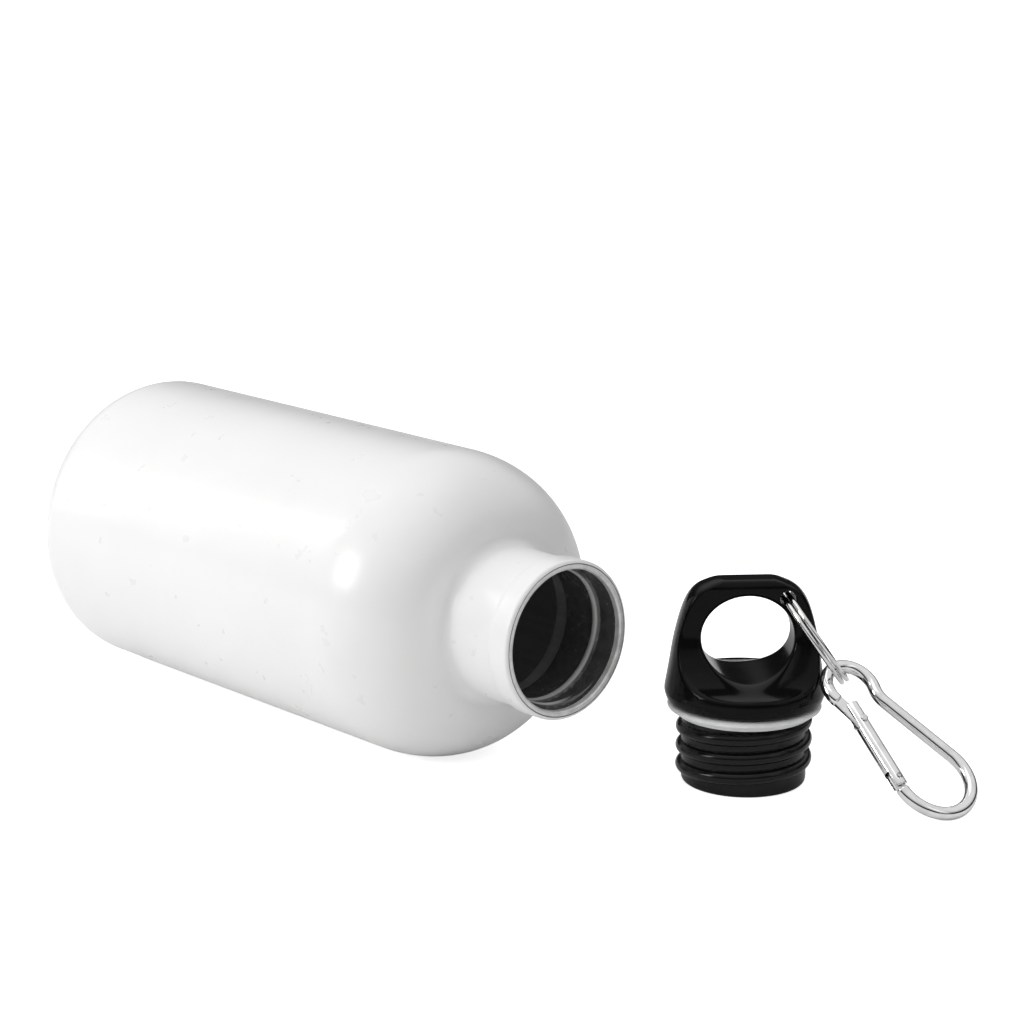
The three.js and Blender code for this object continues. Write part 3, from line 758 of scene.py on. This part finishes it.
class BOTTLESET_OT_plug(Operator):
    """Builds the plug with its screw thread"""

    bl_idname = "bottleset.plug"
    bl_label = "Threaded plug"

    def execute(self, context):
        """Outer radius = core + stand of the crest at (angle, height), from a bevelled end to the stem."""
        s, pitch = sizes("stopper"), sizes("lining").pitch
        shoulder = s.plug_height - s.seal_fit
        rim = s.plug_height + s.seal_height - s.seal_fit
        bore = s.plug_radius - s.plug_wall
        top = shoulder - 0.2 * MM
        sides = 320
        angle = TURN * np.arange(sides) / sides
        height = np.linspace(s.plug_chamfer, shoulder - 0.25 * MM, 150)
        grid_angle, grid_height = np.meshgrid(angle, height)
        base = top - pitch * s.crest_turns + s.crest * 0.3
        stand = thread_stand(grid_angle, grid_height, CREST_START, base, pitch, s.crest_turns,
                             s.crest, s.crest_stand, 0.2)
        room = (smooth_step((grid_height - 0.4 * MM) / (0.7 * MM))
                * smooth_step((shoulder - grid_height) / (0.6 * MM)))
        wall = s.plug_radius + stand * room
        r = s.plug_radius
        c = s.plug_chamfer
        start = profile([0.02 * MM, 0], [r - c - 3 * MM, 0], [r - c - 0.2 * MM, 0],
                        arc(r - c, c, c, c, -80, 0, 9)[:-1])
        end = profile([r - 0.08 * MM, shoulder - 0.06 * MM], [r - 0.3 * MM, shoulder],
                      [s.stem_radius, shoulder], [s.stem_radius, rim - 0.2 * MM],
                      [s.stem_radius - 0.2 * MM, rim], [bore, rim], [bore, s.plug_floor + 0.3 * MM],
                      [bore - 0.3 * MM, s.plug_floor], [0.02 * MM, s.plug_floor])
        spread = np.ones((1, sides))
        radius = np.concatenate([start[:, :1] * spread, wall, end[:, :1] * spread])
        tall = np.concatenate([start[:, 1], height, end[:, 1]])
        part = turned(radius, tall, sides, stopper_place())
        make_piece("plug_thread", [part], "stopper", "threaded_plug",
                   [moulded("thread_plastic", s.thread_colour, 0.14, 0.22, specular=0.24)], crease=50)
        return {"FINISHED"}


class BOTTLESET_OT_seal(Operator):
    """Builds the silicone seal under the flange"""

    bl_idname = "bottleset.seal"
    bl_label = "Seal"

    def execute(self, context):
        """A ring of revolution whose section is a sloped band with rounded edges."""
        s = sizes("stopper")
        inner = s.stem_radius + s.seal_fit
        low, top = s.plug_height, s.plug_height + s.seal_height - s.seal_fit
        edge = 0.35 * MM
        outline = profile(
            [inner, low], arc(s.seal_lower - edge, low + edge, edge, edge, -90, -20, 6),
            arc(s.seal_upper - 1.4 * MM, top - 0.9 * MM, 1.4 * MM, 0.9 * MM, -25, 90, 14),
            [inner, top], step=0.5 * MM)[:-1]
        outline = np.concatenate([outline, [[inner, top]]])
        part = turned_loop(outline[:, 0], outline[:, 1], sizes("stage").facets, stopper_place())
        make_piece("seal_band", [part], "seal", "seal_ring", [silicone(s.seal_colour)], crease=60)
        return {"FINISHED"}


def bell_radius(s, height):
    """Radius of the bell at a height over the flange.

    A straight flange edge, then a Catmull-Rom curve through five rings, read off by height and
    softened where they meet: (r(z - d) + 2 r(z) + r(z + d)) / 4.
    """
    knots = np.array([(s.flange_radius, s.flange_rise)]
                     + [(s.flange_radius - fall, share * s.height) for share, fall in BELL_DROPS]
                     + [(s.top_radius, s.height)])
    ends = np.concatenate([knots[:1], knots, knots[-1:]])
    t = np.linspace(0, 1, 40)[None, :, None]
    p0, p1, p2, p3 = (ends[i:len(knots) - 1 + i, None] for i in range(4))
    v0, v1 = (p2 - p0) / 2, (p3 - p1) / 2
    curve = ((2 * p1 - 2 * p2 + v0 + v1) * t**3 + (-3 * p1 + 3 * p2 - 2 * v0 - v1) * t**2 + v0 * t + p1)
    curve = np.concatenate([[[s.flange_lip, 0]], curve.reshape(-1, 2)])
    below, here, above = (np.interp(height + step, curve[:, 1], curve[:, 0])
                          for step in (-BELL_SOFTEN, 0, BELL_SOFTEN))
    return (below + 2 * here + above) / 4


def grip_depth(s, x, y, z, with_hole=True):
    """How far (x, y, z) is outside the grip, negative inside it, z over the flange.

    The rounded meet of: the bell, hypot(x, y) - r(z); the scoop, R - distance to its axis, running into
    a flat face above and a shelf beyond; the top; the underside; and the elliptical finger hole.
    """
    bell = np.hypot(x, y) - bell_radius(s, z)
    away = np.maximum(s.half_thickness + s.scoop_radius - np.abs(y), 0)
    down = np.maximum(s.shelf + s.scoop_radius - z, 0)
    scoop = s.scoop_radius - np.hypot(away, down)
    depth = smooth_max(bell, scoop, 0.85 * MM)
    depth = smooth_max(depth, z - s.height, 2.2 * MM)
    depth = smooth_max(depth, -z, 0.7 * MM)
    if with_hole:
        reach = np.hypot(x / s.finger_width, (z - s.finger_centre) / s.finger_height)
        depth = smooth_max(depth, (1 - reach) * s.finger_height, 1.5 * MM)
    return depth


def halved(function, low, high, steps=34):
    """Where function changes from negative to positive between low and high, by halving the gap."""
    for _ in range(steps):
        middle = (low + high) / 2
        inside = function(middle) < 0
        low, high = np.where(inside, middle, low), np.where(inside, high, middle)
    return (low + high) / 2


class BOTTLESET_OT_grip(Operator):
    """Builds the bell-shaped grip with its finger hole and eyelet"""

    bl_idname = "bottleset.grip"
    bl_label = "Loop grip"

    def execute(self, context):
        """A grid closed both ways: rays round the finger hole, and a loop front, edge, back, hole wall.

        On a ray the half-depth y solves grip_depth(x, y, z) = 0, and the rows are spread evenly along
        the surface's own length.
        """
        s = sizes("stopper")
        rays, dense, rows = 400, 500, 88
        centre = s.finger_centre

        def spot(angle, reach):
            return reach * np.sin(angle), centre + reach * np.cos(angle)

        def outline_reach(angle):
            def depth(reach):
                x, z = spot(angle, reach)
                edge = np.maximum(z - s.height, -z) + HAIR
                return np.maximum(grip_depth(s, x, 0.0 * x, np.clip(z, 0, s.height), False), edge)
            near = np.full(angle.shape, 1 * MM) + s.finger_height
            return halved(depth, near, np.full(angle.shape, 40 * MM))

        fine = TURN * np.arange(4000) / 4000
        edge_x, edge_z = spot(fine, outline_reach(fine))
        walked = np.hypot(np.diff(edge_x, append=edge_x[:1]), np.diff(edge_z, append=edge_z[:1]))
        walked = np.concatenate([[0], np.cumsum(walked)])
        angle = np.interp(walked[-1] * np.arange(rays) / rays, walked, np.append(fine, TURN))
        reach_out = outline_reach(angle)[:, None]
        slant = np.hypot(np.sin(angle) / s.finger_width, np.cos(angle) / s.finger_height)
        reach_in = 1 / slant[:, None] + HAIR
        share = (1 - np.cos(np.pi * np.linspace(0, 1, dense))) / 2
        reach = reach_in + (reach_out - reach_in) * share

        def half_depth(reach):
            x, z = spot(angle[:, None], reach)
            far = np.full(reach.shape, 20 * MM)
            return halved(lambda y: grip_depth(s, x, y, z), np.zeros(reach.shape), far)

        depth = half_depth(reach)
        run = np.concatenate([np.zeros((rays, 1)),
                              np.cumsum(np.hypot(np.diff(reach), np.diff(depth)), axis=1)], axis=1)
        run = run / run[:, -1:] * 0.999 + np.arange(rays)[:, None]
        wanted = np.linspace(0, 0.999, rows) + np.arange(rays)[:, None]
        even = np.interp(wanted.ravel(), run.ravel(), reach.ravel()).reshape(rays, rows)
        depth = half_depth(even)
        x, z = spot(angle[:, None], even)
        front = np.stack([x, -depth, z], -1)
        back = np.stack([x, depth, z], -1)[:, ::-1]

        def across(start, end, count):
            share = np.linspace(0, 1, count + 2)[1:-1][None, :, None]
            return start[:, None] + (end - start)[:, None] * share

        loop = np.concatenate([front, across(front[:, -1], back[:, 0], 5), back,
                               across(back[:, -1], front[:, 0], 12)], axis=1)
        base = stopper_place() @ np.array(Matrix.Translation((0, 0, s.plug_height + s.seal_height)))
        points = loop.reshape(-1, 3)
        faces = outward(points, [lattice(rays, loop.shape[1], ring_rows=True)])
        spigot = s.plug_radius - s.plug_wall - 0.3 * MM
        stub = profile([0.02 * MM, -SPIGOT], [spigot - 0.4 * MM, -SPIGOT], [spigot, -SPIGOT + 0.4 * MM],
                       [spigot, 0.5 * MM], [0.02 * MM, 0.5 * MM])
        plastic = moulded("grip_plastic", s.colour, 0.1, 0.17, specular=0.09)
        piece = make_piece("loop_grip", [(moved(points, base), faces)], "stopper",
                           "loop_handle", [plastic], crease=60)
        hole = np.linalg.inv(stopper_place()) @ np.array([*JOINTS["ring_swing"]["pos_m"], 1])
        eyelet = placed(hole[:3], (1, 0, 0), (0, 0, 1), (0, -1, 0))
        t = s.half_thickness
        flare = arc(EYELET + 0.5 * MM, t - 0.35 * MM, 0.5 * MM, 0.5 * MM, 180, 120, 7)
        half = np.concatenate([[[EYELET, 0]], flare,
                               [[EYELET + 1.4 * MM, t + 1.2 * MM], [0.02 * MM, t + 1.2 * MM]]])
        spool = np.concatenate([half[::-1] * [1, -1], half[1:]])
        cut(piece, [turned(spool[:, 0], spool[:, 1], 48, stopper_place() @ eyelet)], crease=60)
        join_part(piece, turned(stub[:, 0], stub[:, 1], 96, base))
        return {"FINISHED"}


def join_part(piece, part):
    """Adds one more closed (points, faces) shape to a piece's mesh."""
    shape = bmesh.new()
    shape.from_mesh(piece.data)
    extra = bpy.data.meshes.new("extra")
    extra.from_pydata(part[0].tolist(), [], [face for group in part[1] for face in group.tolist()])
    extra.polygons.foreach_set("use_smooth", np.ones(len(extra.polygons), bool))
    extra.set_sharp_from_angle(angle=np.radians(50))
    shape.from_mesh(extra)
    shape.to_mesh(piece.data)
    shape.free()
    bpy.data.meshes.remove(extra)


# ---------------------------------------------------------------- split ring and hook


def domed(along, radius, dome):
    """Bar radius that closes each end as a quarter round of length dome."""
    near = np.minimum(along, along[-1] - along)
    return radius * np.sqrt(np.clip(1 - (1 - np.clip(near / dome, 0, 1)) ** 2, 2e-3, 1))


class BOTTLESET_OT_split_ring(Operator):
    """Builds the split ring's two coils"""

    bl_idname = "bottleset.split_ring"
    bl_label = "Split ring"

    def execute(self, context):
        """A bar carried along the helix (R cos a, R sin a, pitch a / 360)."""
        s = sizes("split_ring")
        place = ring_place((sizes("stopper"), s, sizes("hook")))
        turn = np.linspace(0, s.turns, 420)
        angle = s.start + TURN * turn
        rise = s.pitch * (turn - s.turns / 2)
        normal = np.stack([np.cos(angle), np.sin(angle), 0 * angle], 1)
        tangent = np.stack([-np.sin(angle) * TURN * s.radius, np.cos(angle) * TURN * s.radius,
                            np.full(len(angle), s.pitch)], 1)
        tangent /= np.linalg.norm(tangent, axis=1)[:, None]
        line = normal * s.radius + np.array([0, 0, 1.0]) * rise[:, None]
        along = turn * TURN * s.radius
        part = carried(line, normal, np.cross(tangent, normal), domed(along, s.wire, 0.25 * MM), 24, place)
        make_piece("ring_coils", [part], "ring", "split_ring",
                   [plated("nickel_plate", s.colour, 0.05, 0.1, scratch=0.1)], crease=60)
        return {"FINISHED"}


def hook_path(s):
    """Centre line of the bent bar as (points, tangents, distance along), in the hook's plane.

    Nose, arc of the big end, straight back, inward arc of the waist, arc of the eye. The back touches
    the end and waist circles: slope = angle between centres + asin((R_end + R_waist) / span).
    """
    aside = s.end - s.gate_line
    reach = s.eye + s.waist
    waist_y = np.sqrt(reach**2 - s.waist_along**2)
    dx, dy = s.end_along - s.waist_along, aside - waist_y
    slope = np.arctan2(dy, dx) + np.arcsin((s.end + s.waist) / np.hypot(dx, dy))
    to_waist = np.arctan2(waist_y, s.waist_along)
    nose = np.arcsin((s.gate_end + s.clear - s.end_along) / s.end) - np.pi / 2
    bends = [(s.end_along, aside, s.end, nose, slope + np.pi / 2),
             (s.waist_along, waist_y, s.waist, slope - np.pi / 2, to_waist - np.pi),
             (0, 0, s.eye, to_waist, np.radians(270) + s.tang_bend)]
    dense = np.concatenate([arc(x, y, r, r, np.degrees(a), np.degrees(b), 600) for x, y, r, a, b in bends])
    gaps = np.hypot(*np.diff(dense, axis=0).T)
    keep = np.append(True, gaps > 1e-9)
    dense = dense[keep]
    walked = np.concatenate([[0], np.cumsum(np.hypot(*np.diff(dense, axis=0).T))])
    along = np.linspace(0, walked[-1], 460)
    points = np.stack([np.interp(along, walked, dense[:, i]) for i in (0, 1)], 1)
    tangents = np.gradient(points, along, axis=0)
    tangents /= np.linalg.norm(tangents, axis=1)[:, None]
    return points, tangents, along


def rounded_plate(outline, thickness, edge, place):
    """Plate from a flat outline: full size between -h + e and h - e, and drawn in by e at -h and h."""
    outline = np.asarray(outline, float)
    ahead = np.roll(outline, -1, axis=0) - outline
    ahead /= np.linalg.norm(ahead, axis=1)[:, None]
    behind = np.roll(ahead, 1, axis=0)
    inward = np.stack([-(ahead + behind)[:, 1], (ahead + behind)[:, 0]], 1)
    inward /= np.linalg.norm(inward, axis=1)[:, None]
    inward /= np.clip(inward @ np.array([1.0, 0]) * -ahead[:, 1] + inward @ np.array([0, 1.0]) * ahead[:, 0],
                      0.4, 1)[:, None]
    h = thickness / 2
    rows = [(edge, -h), (edge * 0.3, -h + edge * 0.3), (0, -h + edge),
            (0, h - edge), (edge * 0.3, h - edge * 0.3), (edge, h)]
    points = np.concatenate([np.column_stack([outline + inward * draw, np.full(len(outline), z)])
                             for draw, z in rows])
    count = len(outline)
    sides = lattice(len(rows), count)
    ends = [np.arange(count)[None, ::-1], (len(rows) - 1) * count + np.arange(count)[None]]
    return moved(points, place), outward(points, [sides, *ends])


def stadium(start, end, radius, steps=18):
    """Outline of a strip with round ends about two points, anticlockwise."""
    start, end = np.asarray(start), np.asarray(end)
    turn = np.degrees(np.arctan2(*(end - start)[::-1]))
    return np.concatenate([arc(*end, radius, radius, turn - 90, turn + 90, steps),
                           arc(*start, radius, radius, turn + 90, turn + 270, steps)])


class BOTTLESET_OT_hook(Operator):
    """Builds the bent bar of the snap hook, with its tang and notched nose"""

    bl_idname = "bottleset.hook"
    bl_label = "Snap hook"

    def execute(self, context):
        """A round bar carried along the hook's path, with two flat plates where the gate meets it."""
        s = sizes("hook")
        place = hook_place(s.pivot, s.gate_line)
        flat, tangent, along = hook_path(s)
        line = np.column_stack([flat, np.zeros(len(flat))])
        normal = np.column_stack([-tangent[:, 1], tangent[:, 0], np.zeros(len(flat))])
        upright = np.tile([0, 0, 1.0], (len(flat), 1))
        bar = carried(line, normal, upright, domed(along, s.bar_radius, 0.5 * MM), 40, place)
        tang = rounded_plate(stadium(flat[-1], (s.pivot, -s.gate_line), s.tang), s.plate, 0.12 * MM, place)
        half = s.latch_pin + s.clear
        low, high = -s.gate_line - s.nose, -s.gate_line + s.nose
        tip = s.latch - half - s.nose_tip
        root = s.gate_end + s.clear + 1 * MM
        middle = -s.gate_line
        notch = arc(s.latch, middle, half, half, 0, -180, 14)
        nose = np.concatenate([
            arc(tip + 0.35 * MM, low + 0.35 * MM, 0.35 * MM, 0.35 * MM, 180, 270, 5),
            [[root, low], [root, high], [s.latch + half, high]], notch,
            arc(s.latch - half - 0.25 * MM, high - 0.25 * MM, 0.25 * MM, 0.25 * MM, 0, 90, 4),
            arc(tip + 0.3 * MM, high - 0.3 * MM, 0.3 * MM, 0.3 * MM, 90, 180, 4)])
        plate = rounded_plate(nose, s.plate, 0.1 * MM, place)
        make_piece("hook_bar", [bar, tang, plate], "hook", "hook_frame",
                   [plated("hook_plate", s.colour, 0.09, 0.16, scratch=0.2)], crease=38)
        return {"FINISHED"}


def gate_place(s, along=0.0):
    """Frame whose +Z runs down the gate's axis, `along` it from the eye."""
    local = placed((along, -s.gate_line, 0), (0, 1, 0), (0, 0, 1), (1, 0, 0))
    return hook_place(s.pivot, s.gate_line) @ local


def pin_place(s, along):
    """Frame whose +Z crosses the gate's axis at `along`, square to the hook."""
    local = placed((along, -s.gate_line, 0), (1, 0, 0), (0, 1, 0), (0, 0, 1))
    return hook_place(s.pivot, s.gate_line) @ local


class BOTTLESET_OT_gate(Operator):
    """Builds the sprung gate: slotted tube, hinge rivet and latch pin"""

    bl_idname = "bottleset.gate"
    bl_label = "Gate"

    def execute(self, context):
        """A bored tube of revolution, less a slot for the tang, a slot for the nose and the pin holes."""
        s = sizes("hook")
        metal = plated("gate_plate", s.colour, 0.08, 0.15, scratch=0.15)
        r, bore = s.gate_radius, s.gate_bore
        outline = profile(
            [0.01 * MM, s.spring_end], [bore, s.spring_end], [bore, s.gate_start + 0.05 * MM],
            arc(r - 0.2 * MM, s.gate_start + 0.2 * MM, 0.2 * MM, 0.2 * MM, -80, 0, 6),
            arc(r - 0.3 * MM, s.gate_end - 0.3 * MM, 0.3 * MM, 0.3 * MM, 0, 80, 8),
            [0.01 * MM, s.gate_end], step=2 * MM)
        piece = make_piece("gate_sleeve", [turned(outline[:, 0], outline[:, 1], 72, gate_place(s))],
                           "gate", "gate_tube", [metal], crease=38)
        slot = s.plate / 2 + s.clear
        tang_end = s.pivot + s.tang + s.clear
        nose_start = s.latch - s.latch_pin - 2 * s.clear - s.nose_tip
        wide = 2 * r
        base = hook_place(s.pivot, s.gate_line)

        def slot_cut(start, end):
            points, faces = block((start, -s.gate_line - wide, -slot), (end, -s.gate_line + wide, slot))
            return moved(points, base), faces

        def hole(along, radius):
            reach = [(0.01 * MM, -wide), (radius, -wide), (radius, wide), (0.01 * MM, wide)]
            return turned([p[0] for p in reach], [p[1] for p in reach], 32, pin_place(s, along))

        cut(piece, [slot_cut(s.gate_start - 1 * MM, tang_end), slot_cut(nose_start, s.gate_end + 1 * MM),
                    hole(s.pivot, s.rivet + s.clear), hole(s.latch, s.latch_pin + s.clear)], crease=38)

        under = r + s.clear / 2
        head = arc(0, under + 0.06 * MM, s.rivet_head, s.head_height - 0.06 * MM, 0, 90, 9)
        half = np.concatenate([[[s.rivet, 0], [s.rivet, under], [s.rivet_head, under]], head])
        half[-1, 0] = 0.01 * MM
        rivet = np.concatenate([half[::-1] * [1, -1], half[1:]])
        make_piece("hinge_rivet_heads", [turned(rivet[:, 0], rivet[:, 1], 40, pin_place(s, s.pivot))],
                   "hook", "hinge_rivet", [plated("rivet_steel", tint(s.colour, 0.9), 0.16, 0.3)],
                   crease=38)

        pin_end = arc(s.latch_pin - 0.12 * MM, r - 0.12 * MM, 0.12 * MM, 0.12 * MM, 0, 90, 5)
        half = np.concatenate([[[s.latch_pin, 0]], pin_end, [[0.01 * MM, r]]])
        pin = np.concatenate([half[::-1] * [1, -1], half[1:]])
        make_piece("latch_crosspin", [turned(pin[:, 0], pin[:, 1], 32, pin_place(s, s.latch))],
                   "gate", "latch_pin", [plated("pin_steel", tint(s.colour, 0.8), 0.2, 0.34)],
                   crease=38)
        return {"FINISHED"}


class BOTTLESET_OT_gate_works(Operator):
    """Gives the spring and its plunger inside the gate their finishes"""

    bl_idname = "bottleset.gate_works"
    bl_label = "Gate spring and plunger"

    def execute(self, context):
        s = sizes("hook")
        finishes = {"gate_spring": plated("spring_steel", tint(s.colour, 0.7), 0.22, 0.38, scratch=0.4),
                    "spring_plunger": plated("plunger_brass", (0.66, 0.5, 0.22), 0.25, 0.4, scratch=0.4)}
        for node, material in finishes.items():
            frame["nodes"][node].data.materials.clear()
            frame["nodes"][node].data.materials.append(material)
        return {"FINISHED"}


# ---------------------------------------------------------------- stage


def aimed(position, target):
    """Matrix at a position, looking down its -Z at a target."""
    position, target = Vector(position), Vector(target)
    turn = (target - position).to_track_quat("-Z", "Y")
    return Matrix.LocRotScale(position, turn, None)


def soft_light(name, position, target, width, height, power):
    """Rectangular soft light."""
    data = bpy.data.lights.new(name, "AREA")
    data.shape = "RECTANGLE"
    data.size, data.size_y = width, height
    data.energy = power
    lamp = bpy.data.objects.new(name, data)
    bpy.context.scene.collection.objects.link(lamp)
    lamp.matrix_world = aimed(position, target)


class BOTTLESET_OT_stage(Operator):
    """Builds the pale floor, the soft lights and the camera"""

    bl_idname = "bottleset.stage"
    bl_label = "Stage"

    def execute(self, context):
        """The floor is a disc, r(i) growing as the square of i.

        The camera sees a white room; reflections see one that is dark at the horizon and bright above.
        """
        s = sizes("stage")
        scene = bpy.context.scene
        reach = s.floor_radius * np.linspace(0.004, 1, 40) ** 2
        angle = TURN * np.arange(96) / 96
        points = np.stack([np.outer(reach, np.cos(angle)), np.outer(reach, np.sin(angle)),
                           np.full((40, 96), -0.02 * MM)], -1).reshape(-1, 3)
        points = np.concatenate([points, [[0, 0, -0.02 * MM]]])
        column = np.arange(96)
        centre = np.stack([np.full(96, len(points) - 1), column, (column + 1) % 96], 1)
        mesh = bpy.data.meshes.new("floor")
        mesh.from_pydata(points.tolist(), [], lattice(40, 96)[:, ::-1].tolist() + centre.tolist())
        floor = bpy.data.objects.new("floor", mesh)
        scene.collection.objects.link(floor)
        made = Finish("pale_floor", specular=0.1)
        made.colour(made.ramp(made.noise(6), [(0.3, tint(s.floor, 0.995)), (0.7, tint(s.floor, 1.005))]))
        made.roughness(made.noise(20), 0.7, 0.8)
        seen = made.node("ShaderNodeLightPath").outputs["Is Camera Ray"]
        made.set(made.shader, {"Emission Color": (1, 1, 1, 1),
                               "Emission Strength": made.math("MULTIPLY", seen, s.glow)})
        mesh.materials.append(made.material)

        world = bpy.data.worlds.new("studio")
        scene.world = world
        world.use_nodes = True
        tree = world.node_tree
        tree.nodes.clear()
        node = tree.nodes.new
        link = tree.links.new
        coordinates, split = node("ShaderNodeTexCoord"), node("ShaderNodeSeparateXYZ")
        ramp, path = node("ShaderNodeValToRGB"), node("ShaderNodeLightPath")
        mix, output = node("ShaderNodeMixShader"), node("ShaderNodeOutputWorld")
        room, plain = node("ShaderNodeBackground"), node("ShaderNodeBackground")
        link(coordinates.outputs["Generated"], split.inputs[0])
        link(split.outputs["Z"], ramp.inputs[0])
        while len(ramp.color_ramp.elements) < len(ROOM_STOPS):
            ramp.color_ramp.elements.new(0.5)
        for element, (position, value) in zip(ramp.color_ramp.elements, ROOM_STOPS):
            element.position, element.color = position, (value, value, value, 1)
        link(ramp.outputs[0], room.inputs["Color"])
        room.inputs["Strength"].default_value = ROOM_STRENGTH
        plain.inputs["Color"].default_value = (1, 1, 1, 1)
        plain.inputs["Strength"].default_value = 1.0
        link(path.outputs["Is Camera Ray"], mix.inputs[0])
        link(room.outputs[0], mix.inputs[1])
        link(plain.outputs[0], mix.inputs[2])
        link(mix.outputs[0], output.inputs[0])
        scene.view_settings.view_transform = "Standard"

        mouth = bottle_place()[:3, 3]
        middle = (0.02, 0.0, 0.03)
        for name, position, width, height, power in LIGHTS:
            soft_light(name, position, middle, width, height, power)

        data = bpy.data.cameras.new("camera")
        data.lens, data.sensor_width = s.lens, 36
        data.clip_start, data.clip_end = 0.02, 40
        camera = bpy.data.objects.new("camera", data)
        scene.collection.objects.link(camera)
        camera.location = Vector(mouth) + Vector(s.camera_from_mouth)
        camera.rotation_euler = (np.pi / 2 - s.elevation, 0, s.azimuth)
        scene.camera = camera
        return {"FINISHED"}


# ---------------------------------------------------------------- panel and start

STEPS = (BOTTLESET_OT_stage, BOTTLESET_OT_shell, BOTTLESET_OT_lining, BOTTLESET_OT_plug, BOTTLESET_OT_seal,
         BOTTLESET_OT_grip, BOTTLESET_OT_split_ring, BOTTLESET_OT_hook, BOTTLESET_OT_gate,
         BOTTLESET_OT_gate_works)


class BOTTLESET_PT_panel(Panel):
    """Sidebar panel that lists every piece"""

    bl_idname = "BOTTLESET_PT_panel"
    bl_label = "Drinking bottle"
    bl_space_type = "VIEW_3D"
    bl_region_type = "UI"
    bl_category = "Bottle"

    def draw(self, context):
        for step in STEPS:
            self.layout.operator(step.bl_idname)
        for name, group in SETTINGS.items():
            box = self.layout.box()
            box.label(text=name.replace("_", " ").capitalize())
            for key in group.__annotations__:
                box.prop(sizes(name), key)


CLASSES = (*SETTINGS.values(), *STEPS, BOTTLESET_PT_panel)


def register():
    for item in CLASSES:
        bpy.utils.register_class(item)
    for name, group in SETTINGS.items():
        setattr(bpy.types.Scene, "bottle_set_" + name, PointerProperty(type=group))


def unregister():
    for name in SETTINGS:
        delattr(bpy.types.Scene, "bottle_set_" + name)
    for item in reversed(CLASSES):
        bpy.utils.unregister_class(item)


def main():
    """Registers the classes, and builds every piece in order."""
    register()
    for step in STEPS:
        group, name = step.bl_idname.split(".")
        getattr(getattr(bpy.ops, group), name)()


if __name__ == "__main__":
    main()
